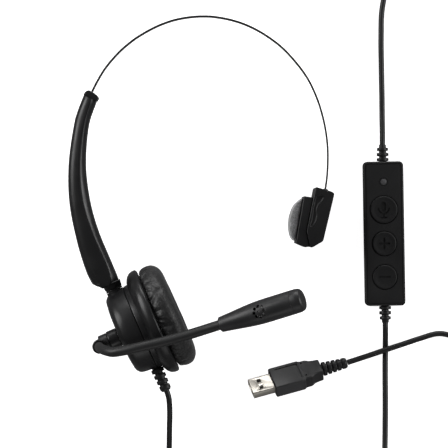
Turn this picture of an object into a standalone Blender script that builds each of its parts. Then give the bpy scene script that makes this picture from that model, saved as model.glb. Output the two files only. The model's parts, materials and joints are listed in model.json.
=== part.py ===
"""Single-ear office headset with a boom microphone, an inline remote and a USB plug, lying on a table.

The design constants are in millimetres and become metres where a shape is made. The design frame has its origin
under the middle of the head arch, X along the arch's base, Y towards the top of the head and Z up from the table.
The cup stands on its rim and the T-bar on its end, so the head arch is level, CUP_HEIGHT above the table.
"""

import math

import bmesh
import bpy
from mathutils import Matrix, Vector

MM = 0.001
WELD = 0.00001  # metres, far under the smallest edge
GAP = 0.3  # clearance between neighbouring pieces

# The design frame's origin, so that the headset without its cords stands centred on the world origin.
LAYOUT_ORIGIN = (1.48, 33.73, 0.0)

# Ear cup: its axis points to the head, leaning up from +X.
CUP_HEIGHT = 30.0
CUP_CENTRE = (-24.7, -97.2, CUP_HEIGHT)
CUP_LEAN = math.radians(23.8)
RING_RADIUS = 30.0
RING_BACK = -5.6
CUSHION_RADIUS = 29.6
CUSHION_DEPTH = 13.0
CUSHION_HOLE = 13.0
DRUM_RADIUS = 24.6
SEAM = -12.1  # between the drum and the back housing
HOUSING_RADIUS = 23.4
HOUSING_BACK = -23.5
WALL = 1.8
SCREW_CIRCLE = 20.3

# Swivel between the cup and the arm, radial to the cup.
NECK_OFFSET = -15.5
NECK_SEAM = 23.9
NECK_RADIUS = 3.9
PIN_RADIUS = 2.0

# Cable gland, radial at the bottom of the cup.
GLAND_OFFSET = -11.6
GLAND_START = 19.0
GLAND_END = 37.7
GLAND_RADIUS = 2.9

# Head band and its slider: the stretch inside the arm is an arc about the slide centre.
STRIP_THICKNESS = 0.8
STRIP_WIDTH = 10.0
SLIDE_RADIUS = 90.0
ARM_MOUTH = (-61.4, 27.3)
MOUTH_DIRECTION = Vector((0.43, 0.903)).normalized()
MOUTH_INWARD = Vector((MOUTH_DIRECTION.y, -MOUTH_DIRECTION.x))
SLIDE_CENTRE = Vector(ARM_MOUTH) + SLIDE_RADIUS * MOUTH_INWARD
STRIP_HIDDEN_ANGLE = math.radians(36.0)
BAND_ROUTE = [
    (-61.4, 27.3), (-57.5, 34.9), (-53.1, 41.8), (-46.5, 49.4), (-39.9, 55.2), (-33.3, 59.7), (-24.5, 64.3),
    (-15.7, 67.4), (-6.9, 69.0), (0.0, 69.4), (6.3, 69.1), (15.1, 67.5), (23.9, 64.6), (32.7, 60.1), (41.5, 53.9),
    (48.1, 47.5), (54.7, 39.4), (59.1, 32.3), (63.0, 23.4), (65.6, 15.0), (67.4, 6.7), (68.4, -1.5), (68.6, -8.4),
    (68.4, -15.3), (67.9, -20.8), (67.2, -25.6),
]

# Arm: outer and inner edges, and the parting line between its two halves.
ARM_WIDTH = 17.0
ARM_OUTER = [
    (-65.6, 26.0), (-68.9, 17.5), (-71.1, 9.2), (-73.9, -11.7), (-73.5, -33.0), (-69.4, -54.1), (-64.8, -69.3),
    (-61.6, -76.2),
]
ARM_PARTING = [
    (-60.9, 23.7), (-65.2, 9.2), (-67.5, -12.8), (-66.1, -33.0), (-60.2, -50.8), (-52.6, -67.6), (-50.4, -76.6),
]
ARM_INNER = [
    (-58.5, 22.6), (-62.8, 9.2), (-64.4, -11.7), (-62.2, -31.3), (-57.6, -48.0), (-50.9, -64.2), (-46.4, -75.0),
]
ARM_SHOULDER = [(-60.6, -77.7), (-56.0, -79.1)]

# T-bar: a frame at the band's end, turned clockwise, with +Y up along the bar.
TBAR_PLACE = (67.05, -26.4, CUP_HEIGHT)
TBAR_LEAN = math.radians(-13.4)
TBAR_WIDTH = 60.0
TBAR_PIN_DROP = 6.0
TBAR_PIN_RADIUS = 1.0
TBAR_COVER = [
    (-6.0, -1.2), (4.2, -0.8), (4.7, -1.5), (4.7, -26.8), (4.2, -27.8), (-0.2, -32.0), (-1.4, -32.2), (-5.2, -24.1),
    (-5.9, -5.3),
]
TBAR_PLATE = [
    (-11.2, -5.9), (-6.3, -5.6), (-5.6, -24.1), (-2.4, -31.2), (-4.6, -32.6), (-9.5, -31.8),
]
TBAR_FOAM = [
    (-11.5, -6.9), (-12.6, -8.2), (-14.6, -10.8), (-15.5, -14.5), (-15.6, -19.0), (-14.9, -24.0), (-12.8, -29.0),
    (-10.1, -31.4), (-9.95, -30.9),
]

# Boom: the tube leaves the elbow upwards, bends over the cup and runs to the microphone.
HUB_RADIUS = 5.2
ELBOW_OFFSET = -35.2
BOOM_RADIUS = 2.75
MIC_START = Vector((9.5, -99.0, 70.7))
MIC_DIRECTION = Vector((0.916, 0.292, 0.276)).normalized()
BOOM_ROUTE = [
    (-56.7, -111.9, 37.0), (-56.7, -111.9, 39.6), (-56.6, -112.0, 42.5), (-55.2, -112.7, 50.0), (-52.2, -113.6, 56.0),
    (-48.2, -114.1, 59.6), (-40.3, -112.7, 62.5), (-33.2, -111.1, 63.8), (-24.2, -109.0, 64.8),
    (-16.8, -107.1, 65.6), (-7.4, -104.4, 67.0), (0.4, -101.95, 68.3),
    *(MIC_START + MIC_DIRECTION * along for along in (-3.0, 0.0, 3.5, 7.0)),
]
MIC_LENGTH = 48.9
MIC_RADIUS = 6.6
SOUND_HOLES = 8

# Inline remote, lying on its back.
REMOTE_PLACE = (100.5, -50.07, 0.0)
REMOTE_TURN = math.radians(0.95)
REMOTE_SIZE = (22.4, 80.2, 11.0)
REMOTE_SPLIT = 5.4
REMOTE_CORNER = 3.0
CORD_EXIT_HEIGHT = 5.35
LED_Y = 28.8
MUTE_Y = 13.3
VOLUME_UP_Y = -5.5
VOLUME_DOWN_Y = -24.1
MUTE_RADIUS = 7.7
VOLUME_RADIUS = 6.8
BUTTON_FOOT = 7.9
BUTTON_TOP = 11.25
REMOTE_SCREW_Y = 34.3
RELIEF_LENGTH = 9.4

# USB plug: its frame has +Z along the nose and +Y out of the broad face.
PLUG_PLACE = (37.9, -133.2, 10.65)
PLUG_NOSE = Vector((-0.954, -0.256, 0.156)).normalized()
PLUG_FACE = Vector((0.0, 0.74, 0.67))
SHELL_SIZE = (12.0, 4.5)
SHELL_LENGTH = 12.0
OVERMOLD_LENGTH = 29.0
PLUG_RELIEF_LENGTH = 15.5

# Cords: 3.1 mm round, lying on the table, with the spare length wound into one coil each.
CORD_RADIUS = 1.55
COIL_RADIUS = 17.5
COIL_SECTION = [
    (22.2, 1.1), (21.6, 3.0), (19.6, 5.8), (15.4, 5.8), (13.4, 3.0), (12.8, 1.1), (13.6, 0.0), (21.4, 0.0),
]
CUP_COIL_CENTRE = (0.0, -196.5)
USB_COIL_CENTRE = (122.1, -196.5)
CUP_CORD_FALL = [
    (-19.95, -136.75, 30.0), (-19.2, -138.9, 29.9), (-18.6, -142.5, 29.2), (-18.4, -149.0, 26.4),
    (-18.6, -157.0, 21.2), (-18.8, -165.0, 15.2), (-19.0, -172.0, 10.1), (-19.1, -178.5, 6.6), (-19.1, -184.0, 4.9),
]
CUP_CORD_RUN = [
    (12.6, -219.2, 1.55), (26.0, -221.8, 1.55), (45.0, -223.0, 1.55), (66.0, -222.6, 1.55), (88.0, -223.2, 1.55),
    (110.0, -223.6, 1.55), (128.0, -222.8, 1.55), (141.0, -218.8, 1.55), (150.0, -209.5, 1.55),
    (153.6, -196.0, 1.55), (153.8, -175.0, 1.55), (152.6, -150.0, 1.55), (153.4, -120.0, 1.55),
    (152.6, -88.0, 1.55), (151.6, -55.0, 1.55), (152.4, -20.0, 1.55), (151.7, 15.0, 1.55), (152.3, 48.0, 1.55),
    (152.4, 72.0, 1.55), (149.6, 88.0, 1.55), (140.5, 98.3, 1.55), (127.0, 101.6, 1.55), (113.2, 98.8, 1.55),
    (103.6, 89.6, 1.55), (99.8, 76.0, 1.55), (99.1, 60.0, 1.55), (99.3, 42.0, 1.55), (99.6, 26.0, 1.55),
    (99.7, 15.0, 1.75), (99.7, 8.5, 3.6), (99.7, 3.6, 5.1), (99.67, -0.1, 5.35),
]
USB_CORD_DROP = [
    (101.31, -99.9, 5.35), (101.38, -103.2, 5.0), (101.45, -107.4, 3.5), (101.5, -111.4, 2.0),
    (101.5, -116.0, 1.55), (101.4, -128.0, 1.55), (101.5, -144.0, 1.55), (101.4, -160.0, 1.55),
    (101.2, -173.0, 1.55), (101.3, -184.0, 1.55),
]
USB_CORD_RUN = [
    (143.4, -183.8, 1.55), (144.4, -170.0, 1.55), (145.6, -152.0, 1.55), (147.1, -134.0, 1.55),
    (147.6, -124.0, 1.55), (145.6, -114.6, 1.6), (139.6, -107.9, 1.9), (131.0, -105.8, 2.5), (121.0, -108.4, 3.7),
    (111.5, -111.5, 4.9), (101.7, -114.7, 5.3), (93.5, -117.5, 4.5), (87.0, -119.7, 3.6), (80.95, -121.65, 3.62),
]


def clear_scene():
    for obj in list(bpy.data.objects):
        bpy.data.objects.remove(obj, do_unlink=True)


def new_collection(name):
    group = bpy.data.collections.new(name)
    bpy.context.scene.collection.children.link(group)
    return group


def new_material(name, colour, roughness, metallic=0.0):
    finish = bpy.data.materials.new(name)
    finish.use_nodes = True
    shader = finish.node_tree.nodes["Principled BSDF"]
    shader.inputs["Base Color"].default_value = (*colour, 1.0)
    shader.inputs["Roughness"].default_value = roughness
    shader.inputs["Metallic"].default_value = metallic
    return finish


clear_scene()
HEADSET = new_collection("office_headset")
CUTTERS = new_collection("cutters")

BLACK_PLASTIC = new_material("black_plastic", (0.018, 0.018, 0.019), 0.38)
GREY_PLASTIC = new_material("grey_plastic", (0.035, 0.035, 0.037), 0.42)
MATTE_PLASTIC = new_material("matte_plastic", (0.013, 0.013, 0.014), 0.55)
LEATHERETTE = new_material("leatherette", (0.012, 0.012, 0.013), 0.45)
FOAM = new_material("foam", (0.18, 0.18, 0.185), 0.9)
RUBBER = new_material("rubber", (0.015, 0.015, 0.016), 0.6)
BLACK_STEEL = new_material("black_steel", (0.03, 0.03, 0.032), 0.4, 0.9)
NICKEL = new_material("nickel", (0.66, 0.65, 0.63), 0.28, 1.0)
BRIGHT_STEEL = new_material("bright_steel", (0.5, 0.5, 0.5), 0.35, 1.0)
WHITE_PLASTIC = new_material("white_plastic", (0.8, 0.8, 0.78), 0.4)
BOARD = new_material("circuit_board", (0.02, 0.1, 0.04), 0.5)
CLOTH = new_material("speaker_cloth", (0.015, 0.015, 0.016), 0.95)
FILM = new_material("speaker_film", (0.25, 0.24, 0.2), 0.3)
SMOKED_LENS = new_material("smoked_lens", (0.06, 0.06, 0.065), 0.2)


def to_metres(point):
    return Vector(value * MM for value in point)


def new_empty(name, place, parent=None, x_axis=(1, 0, 0), z_axis=(0, 0, 1)):
    """An empty at a place in millimetres in its parent's frame, its axes along the two directions."""
    along = Vector(z_axis).normalized()
    side = Vector(x_axis)
    side = (side - side.dot(along) * along).normalized()
    turn = Matrix((side, along.cross(side), along)).transposed().to_4x4()
    empty = bpy.data.objects.new(name, None)
    empty.empty_display_size = 0.01
    empty.matrix_basis = Matrix.Translation(to_metres(place)) @ turn
    empty.parent = parent
    HEADSET.objects.link(empty)
    return empty


def new_piece(name, mesh, finish, parent, group=HEADSET):
    piece = bpy.data.objects.new(name, mesh)
    piece.parent = parent
    if finish is not None:
        mesh.materials.append(finish)
    group.objects.link(piece)
    if group is CUTTERS:
        piece.hide_render = True
        piece.display_type = "WIRE"
    return piece


def shade_round(mesh, angle=35.0):
    mesh.shade_smooth()
    mesh.set_sharp_from_angle(angle=math.radians(angle))


def turned(name, profile, finish, parent, steps=32, closed=False, group=HEADSET):
    """A profile of (radius, height) points turned about the parent's Z axis with a Screw modifier."""
    area = sum(
        a[0] * b[1] - b[0] * a[1] for a, b in zip(profile, profile[1:] + profile[:1])
    )
    points = list(profile) if area < 0 else list(reversed(profile))
    mesh = bpy.data.meshes.new(name)
    edges = [(i, i + 1) for i in range(len(points) - 1)]
    if closed:
        edges.append((len(points) - 1, 0))
    mesh.from_pydata([to_metres((r, 0.0, h)) for r, h in points], edges, [])
    piece = new_piece(name, mesh, finish, parent, group)
    screw = piece.modifiers.new("turn", "SCREW")
    screw.axis = "Z"
    screw.steps = steps
    screw.render_steps = steps
    screw.use_merge_vertices = True
    screw.merge_threshold = WELD
    screw.use_smooth_shade = False
    return piece


def disc(name, radius, low, high, finish, parent, steps=24, group=HEADSET, inner=0.0):
    """A plain cylinder, or a washer if inner is given, between two heights on the parent's Z axis."""
    if inner > 0.0:
        outline = [(radius, high), (radius, low), (inner, low), (inner, high)]
        return turned(name, outline, finish, parent, steps, closed=True, group=group)
    outline = [(0.0, high), (radius, high), (radius, low), (0.0, low)]
    return turned(name, outline, finish, parent, steps, group=group)


def box(name, low, high, finish, parent, group=HEADSET):
    centre = (to_metres(low) + to_metres(high)) / 2
    size = to_metres(high) - to_metres(low)
    bm = bmesh.new()
    place = Matrix.Translation(centre) @ Matrix.Diagonal((*size, 1.0))
    bmesh.ops.create_cube(bm, size=1.0, matrix=place)
    mesh = bpy.data.meshes.new(name)
    bm.to_mesh(mesh)
    bm.free()
    return new_piece(name, mesh, finish, parent, group)


def curve_to_mesh(curve_object):
    """Replaces a curve object by its welded mesh, in place."""
    depsgraph = bpy.context.evaluated_depsgraph_get()
    mesh = bpy.data.meshes.new_from_object(curve_object.evaluated_get(depsgraph))
    bm = bmesh.new()
    bm.from_mesh(mesh)
    bmesh.ops.remove_doubles(bm, verts=bm.verts, dist=WELD)
    bm.to_mesh(mesh)
    bm.free()
    bpy.data.objects.remove(curve_object, do_unlink=True)
    return mesh


def curve_object(points, closed, dimensions):
    curve = bpy.data.curves.new("outline", "CURVE")
    curve.dimensions = dimensions
    spline = curve.splines.new("POLY")
    spline.points.add(len(points) - 1)
    for spot, point in zip(spline.points, points):
        spot.co = (*to_metres((*point, 0.0)[:3]), 1.0)
    spline.use_cyclic_u = closed
    holder = bpy.data.objects.new("outline", curve)
    HEADSET.objects.link(holder)
    return holder


def slab(name, outline, low, high, finish, parent, group=HEADSET):
    """A flat outline in the parent's XY plane, thick between two heights."""
    holder = curve_object(outline, True, "2D")
    holder.data.fill_mode = "BOTH"
    holder.data.extrude = (high - low) / 2 * MM
    mesh = curve_to_mesh(holder)
    mesh.transform(Matrix.Translation((0.0, 0.0, (low + high) / 2 * MM)))
    return new_piece(name, mesh, finish, parent, group)


def round_cord(name, route, radius, finish, parent, spacing):
    """A round tube through a route, on a smooth curve read at even steps."""
    holder = curve_object(even_points(route, spacing), False, "3D")
    holder.data.bevel_depth = radius * MM
    holder.data.bevel_resolution = 2
    holder.data.use_fill_caps = True
    mesh = curve_to_mesh(holder)
    shade_round(mesh)
    return new_piece(name, mesh, finish, parent)


def cut(piece, *cutters):
    for cutter in cutters:
        boolean = piece.modifiers.new("cut", "BOOLEAN")
        boolean.operation = "DIFFERENCE"
        boolean.object = cutter


def join(piece, *additions):
    for addition in additions:
        boolean = piece.modifiers.new("join", "BOOLEAN")
        boolean.operation = "UNION"
        boolean.object = addition


def soften(piece, width, segments=1, angle=30.0):
    bevel = piece.modifiers.new("edges", "BEVEL")
    bevel.width = width * MM
    bevel.segments = segments
    bevel.limit_method = "ANGLE"
    bevel.angle_limit = math.radians(angle)


def smooth_points(route, per_span):
    """Points on a Catmull-Rom curve through the route."""
    knots = [Vector(point) for point in route]
    knots = [2 * knots[0] - knots[1]] + knots + [2 * knots[-1] - knots[-2]]
    points = []
    for before, start, end, after in zip(knots, knots[1:], knots[2:], knots[3:]):
        for step in range(per_span):
            t = step / per_span
            points.append(
                0.5 * (2 * start + (end - before) * t
                       + (2 * before - 5 * start + 4 * end - after) * t ** 2
                       + (3 * start - before - 3 * end + after) * t ** 3)
            )
    points.append(knots[-2])
    return points


def even_points(route, spacing):
    """Points at even steps along the smooth curve through the route."""
    fine = smooth_points(route, 24)
    lengths = [0.0]
    for a, b in zip(fine, fine[1:]):
        lengths.append(lengths[-1] + (b - a).length)
    count = max(2, round(lengths[-1] / spacing))
    points = []
    index = 0
    for step in range(count + 1):
        target = lengths[-1] * step / count
        while index < len(fine) - 2 and lengths[index + 1] < target:
            index += 1
        span = lengths[index + 1] - lengths[index]
        points.append(fine[index].lerp(fine[index + 1], (target - lengths[index]) / span))
    return points


def arc(centre, radius, start, end, steps):
    """Points on an arc in the XY plane, angles in radians."""
    angles = [start + (end - start) * i / steps for i in range(steps + 1)]
    return [(centre[0] + radius * math.cos(a), centre[1] + radius * math.sin(a)) for a in angles]


def rounded_rectangle(width, length, corner, steps=3):
    outline = []
    for turn, (sx, sy) in enumerate([(1, 1), (-1, 1), (-1, -1), (1, -1)]):
        centre = (sx * (width / 2 - corner), sy * (length / 2 - corner))
        outline += arc(centre, corner, turn * math.pi / 2, (turn + 1) * math.pi / 2, steps)
    return outline


def screw(name, parent, head_radius, head_low, head_high, tip):
    """A screw on the parent's Z axis: its head between two heights, its shank down to the tip."""
    profile = [
        (0.0, head_high), (head_radius, head_high), (head_radius, head_low), (1.0, head_low), (1.0, tip), (0.0, tip),
    ]
    return turned(name, profile, BRIGHT_STEEL, parent, steps=12)


def screw_sink(name, parent, top, floor, tip):
    """The cutter for a screw's counterbore and its shank hole."""
    profile = [(0.0, top), (2.4, top), (2.4, floor), (1.35, floor), (1.35, tip), (0.0, tip)]
    return turned(name, profile, None, parent, steps=12, group=CUTTERS)


def ribbed_relief(name, start, length, radius, tail_radius, ribs, parent):
    """A strain relief along the parent's Z axis, necked between its ribs."""
    pitch = length / ribs
    outer = []
    for rib in range(ribs):
        r = radius + (tail_radius - radius) * rib / (ribs - 1)
        base = start + rib * pitch
        outer += [(r, base), (r, base + pitch * 0.62), (r - 0.6, base + pitch * 0.72), (r - 0.6, base + pitch * 0.96)]
    end = start + length
    profile = [(0.0, start)] + outer[:-1] + [(tail_radius - 0.5, end), (0.0, end)]
    return turned(name, profile, RUBBER, parent, steps=12)


# ---------------------------------------------------------------- frames

LAYOUT = new_empty("layout", LAYOUT_ORIGIN)
CUP_AXIS = Vector((math.cos(CUP_LEAN), math.sin(CUP_LEAN), 0.0))
CUP_UP = Vector((-math.sin(CUP_LEAN), math.cos(CUP_LEAN), 0.0))
CUP = new_empty("cup_axis", CUP_CENTRE, LAYOUT, x_axis=CUP_UP, z_axis=CUP_AXIS)
NECK = new_empty("neck_axis", (0.0, 0.0, NECK_OFFSET), CUP, x_axis=(0, 1, 0), z_axis=(1, 0, 0))
GLAND = new_empty("gland_axis", (0.0, 0.0, GLAND_OFFSET), CUP, x_axis=(0, 1, 0), z_axis=(-1, 0, 0))
ELBOW = new_empty("elbow_axis", (-0.5, 0.0, ELBOW_OFFSET), CUP, x_axis=(1, 0, 0), z_axis=(0, 1, 0))
TBAR = new_empty(
    "tbar_frame", TBAR_PLACE, LAYOUT, x_axis=(math.cos(TBAR_LEAN), math.sin(TBAR_LEAN), 0.0)
)
TBAR_HINGE = new_empty("tbar_hinge", (0.0, -TBAR_PIN_DROP, 0.0), TBAR)
SLIDER = new_empty("slide_centre", (*SLIDE_CENTRE, CUP_HEIGHT), LAYOUT)
MIC = new_empty("mic_axis", MIC_START, LAYOUT, x_axis=(0, 0, 1), z_axis=MIC_DIRECTION)
REMOTE = new_empty(
    "remote_frame", REMOTE_PLACE, LAYOUT, x_axis=(math.cos(REMOTE_TURN), math.sin(REMOTE_TURN), 0.0)
)
PLUG = new_empty("plug_frame", PLUG_PLACE, LAYOUT, x_axis=PLUG_FACE.cross(PLUG_NOSE), z_axis=PLUG_NOSE)


# ---------------------------------------------------------------- ear cup

def cup_screw_spots():
    return [
        (SCREW_CIRCLE * math.cos(angle), SCREW_CIRCLE * math.sin(angle))
        for angle in (math.radians(120.0 * i) for i in range(3))
    ]


def build_cup():
    housing = turned("cup_back_housing", [
        (0.0, HOUSING_BACK + WALL), (14.5, -21.4), (19.6, -20.2), (21.4, -17.6), (21.6, SEAM - GAP),
        (HOUSING_RADIUS, SEAM - GAP), (HOUSING_RADIUS, -18.0), (22.5, -20.6), (20.2, -22.2), (15.0, -23.1),
        (6.0, HOUSING_BACK), (0.0, HOUSING_BACK),
    ], BLACK_PLASTIC, CUP, steps=32)
    pin_hole = disc("pin_hole", PIN_RADIUS + 0.4, 17.0, 27.0, None, NECK, group=CUTTERS)
    gland_hole = disc("gland_hole", GLAND_RADIUS + GAP, 16.0, 27.0, None, GLAND, 16, group=CUTTERS)
    pivot_hole = disc("pivot_hole", 2.3, HOUSING_BACK - 1, HOUSING_BACK + 4, None, CUP, 16, group=CUTTERS)
    cut(housing, pin_hole, gland_hole, pivot_hole)

    drum = turned("cup_drum", [
        (DRUM_RADIUS, -3.4), (DRUM_RADIUS, -6.2), (23.9, -11.4), (23.5, SEAM + GAP), (18.5, SEAM + GAP),
        (18.5, -5.0), (22.6, -5.0), (22.6, -3.4),
    ], BLACK_PLASTIC, CUP, steps=32, closed=True)
    cut(drum, gland_hole)

    ring = turned("baffle_ring", [
        (0.0, -1.2), (25.4, -1.2), (25.9, -0.3), (29.2, -0.2), (RING_RADIUS, -0.9), (RING_RADIUS, -4.8),
        (29.3, RING_BACK), (25.2, RING_BACK), (25.2, -3.0), (0.0, -3.0),
    ], BLACK_PLASTIC, CUP, steps=36)
    for i in range(7):
        angle = math.radians(60.0 * i)
        reach = 6.5 if i else 0.0
        spot = new_empty(f"grille_spot_{i}", (reach * math.cos(angle), reach * math.sin(angle), 0.0), CUP)
        cut(ring, disc(f"grille_hole_{i}", 2.0, -4.0, 0.0, None, spot, 10, group=CUTTERS))
    for i, (x, y) in enumerate(cup_screw_spots(), 1):
        spot = new_empty(f"cup_screw_spot_{i}", (x, y, 0.0), CUP)
        sink = screw_sink(f"cup_screw_hole_{i}", spot, 1.0, -2.7, -10.2)
        cut(ring, sink)
        cut(drum, sink)
        screw(f"cup_screw_{i}", spot, 2.0, -2.4, -1.4, -9.6)

    turned("speaker_frame", [
        (17.5, -3.4), (17.5, -8.8), (9.2, -8.8), (9.2, -7.6), (15.8, -7.6), (15.8, -3.4),
    ], BRIGHT_STEEL, CUP, steps=20, closed=True)
    turned("speaker_magnet", [
        (0.0, -7.3), (8.8, -7.3), (8.8, -13.4), (8.0, -14.0), (0.0, -14.0),
    ], BRIGHT_STEEL, CUP, steps=24)
    turned("speaker_diaphragm", [
        (0.0, -4.0), (4.0, -4.3), (7.2, -5.4), (11.0, -4.4), (15.4, -4.2), (15.4, -4.6), (11.0, -4.8), (7.2, -5.8),
        (4.0, -4.7), (0.0, -4.4),
    ], FILM, CUP, steps=16)
    disc("speaker_cloth", CUSHION_HOLE + 0.6, -0.85, -0.45, CLOTH, CUP, 24)
    disc("cushion_retainer", 25.1, -0.9, -0.05, MATTE_PLASTIC, CUP, 28, inner=14.6)
    box("terminal_board", (-13.0, -5.0, -18.0), (-6.0, 5.0, -16.8), BOARD, CUP)
    turned("ear_cushion", [
        (15.0, GAP), (27.6, GAP), (29.2, 2.2), (CUSHION_RADIUS, 5.2), (28.7, 8.8), (25.6, 11.8),
        (20.8, CUSHION_DEPTH), (16.6, 12.2), (13.8, 9.6), (CUSHION_HOLE, 5.4), (13.6, 1.6),
    ], LEATHERETTE, CUP, steps=28, closed=True)


def build_gland():
    straight = 24.6
    ribs = 5
    pitch = (GLAND_END - straight) / ribs
    outer = [(2.6, GLAND_START), (2.6, straight - 0.4)]
    for rib in range(ribs):
        base = straight + rib * pitch
        outer += [(GLAND_RADIUS, base), (GLAND_RADIUS, base + pitch * 0.6), (2.3, base + pitch * 0.72)]
        outer += [(2.3, base + pitch * 0.94)]
    profile = [(0.0, GLAND_START)] + outer[:-1] + [(2.2, GLAND_END), (0.0, GLAND_END)]
    turned("cup_cord_gland", profile, RUBBER, GLAND, steps=12)


# ---------------------------------------------------------------- arm and neck

def build_arm():
    parting = smooth_points(ARM_PARTING, 3)
    outer = smooth_points(ARM_OUTER, 2)
    low = CUP_HEIGHT - ARM_WIDTH / 2
    high = CUP_HEIGHT + ARM_WIDTH / 2
    shell = slab(
        "arm_outer_shell", outer + [Vector(p) for p in ARM_SHOULDER] + list(reversed(parting)), low, high,
        BLACK_PLASTIC, LAYOUT,
    )
    cover_side = [point + Vector((0.35, 0.0)) for point in parting]
    inner = smooth_points(ARM_INNER, 2)
    cover = slab("arm_inner_cover", cover_side + list(reversed(inner)), low, high, BLACK_PLASTIC, LAYOUT)

    mouth_angle = math.pi - math.asin((ARM_MOUTH[1] - SLIDE_CENTRE.y) / SLIDE_RADIUS)
    end_angle = mouth_angle + STRIP_HIDDEN_ANGLE + math.radians(4.0)
    trough_outline = arc((0.0, 0.0), SLIDE_RADIUS + 1.2, mouth_angle - 0.1, end_angle, 16)
    trough_outline += arc((0.0, 0.0), SLIDE_RADIUS - 10.0, end_angle, mouth_angle - 0.1, 8)
    trough = slab("trough", trough_outline, -5.5, 5.5, None, SLIDER, group=CUTTERS)
    bolt_hole = disc("bolt_hole", PIN_RADIUS + GAP, 20.0, 38.0, None, NECK, 16, group=CUTTERS)
    cut(shell, trough, bolt_hole)
    cut(cover, bolt_hole)

    clamp = new_empty(
        "arm_screw_axis", (-57.7, -48.9, CUP_HEIGHT), LAYOUT, x_axis=(0, 0, 1), z_axis=(0.931, 0.364, 0.0)
    )
    sink = screw_sink("arm_screw_hole", clamp, 3.0, -1.7, -9.5)
    cut(cover, sink)
    cut(shell, sink)
    screw("arm_screw", clamp, 2.0, -1.4, -0.5, -9.0)
    soften(shell, 0.6)
    soften(cover, 0.5)

    cap_frame = new_empty(
        "arm_cap_frame", (*ARM_MOUTH, CUP_HEIGHT), LAYOUT, x_axis=(*MOUTH_INWARD, 0.0)
    )
    cap = slab(
        "arm_end_cap", [(-3.3, -2.7), (-3.3, -0.6), (-2.4, 0.5), (4.0, 0.5), (4.8, -0.5), (4.8, -2.7)],
        -7.6, 7.6, BLACK_PLASTIC, cap_frame,
    )
    cut(cap, box("strip_mouth", (-1.0, -4.0, -5.4), (1.0, 2.0, 5.4), None, cap_frame, group=CUTTERS))

    leaf = arc((0.0, 0.0), SLIDE_RADIUS - 0.9, mouth_angle + 0.15, mouth_angle + 0.21, 3)
    leaf += arc((0.0, 0.0), SLIDE_RADIUS - 2.1, mouth_angle + 0.25, mouth_angle + 0.27, 1)
    leaf += arc((0.0, 0.0), SLIDE_RADIUS - 2.5, mouth_angle + 0.27, mouth_angle + 0.25, 1)
    leaf += arc((0.0, 0.0), SLIDE_RADIUS - 1.3, mouth_angle + 0.21, mouth_angle + 0.15, 3)
    leaf += arc((0.0, 0.0), SLIDE_RADIUS - 2.5, mouth_angle + 0.11, mouth_angle + 0.09, 1)
    leaf += arc((0.0, 0.0), SLIDE_RADIUS - 2.1, mouth_angle + 0.09, mouth_angle + 0.11, 1)
    slab("arm_detent_spring", leaf, -4.0, 4.0, BRIGHT_STEEL, SLIDER)

    turned("neck_collar", [
        (NECK_RADIUS, NECK_SEAM), (4.2, 25.6), (4.9, 28.4), (PIN_RADIUS + GAP, 28.4), (PIN_RADIUS + GAP, NECK_SEAM),
    ], BLACK_PLASTIC, NECK, steps=24, closed=True)
    turned("swivel_pin", [
        (0.0, 37.0), (PIN_RADIUS, 37.0), (PIN_RADIUS, 20.0), (3.4, 20.0), (3.4, 18.6), (0.0, 18.6),
    ], BRIGHT_STEEL, NECK, steps=20)
    return mouth_angle


# ---------------------------------------------------------------- head band and T-bar

def build_band(mouth_angle):
    hidden = arc(
        SLIDE_CENTRE, SLIDE_RADIUS, mouth_angle + STRIP_HIDDEN_ANGLE, mouth_angle, 14
    )
    visible = even_points(BAND_ROUTE, 5.0)
    holder = curve_object([*hidden[:-1], *visible], False, "2D")
    holder.data.fill_mode = "NONE"
    holder.data.extrude = STRIP_WIDTH / 2 * MM
    ribbon = curve_to_mesh(holder)
    ribbon.transform(Matrix.Translation((0.0, 0.0, CUP_HEIGHT * MM)))
    strip = new_piece("band_strip", ribbon, BLACK_STEEL, LAYOUT)
    wall = strip.modifiers.new("thickness", "SOLIDIFY")
    wall.thickness = STRIP_THICKNESS * MM
    wall.offset = 0.0
    wall.use_even_offset = True

    end = mouth_angle + STRIP_HIDDEN_ANGLE
    inner_face = SLIDE_RADIUS - STRIP_THICKNESS / 2 - GAP
    stop = arc((0.0, 0.0), inner_face, end - 0.045, end, 3)
    stop += arc((0.0, 0.0), inner_face - 1.0, end, end - 0.045, 3)
    slab("band_end_stop", stop, -4.8, 4.8, BRIGHT_STEEL, SLIDER)


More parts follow.
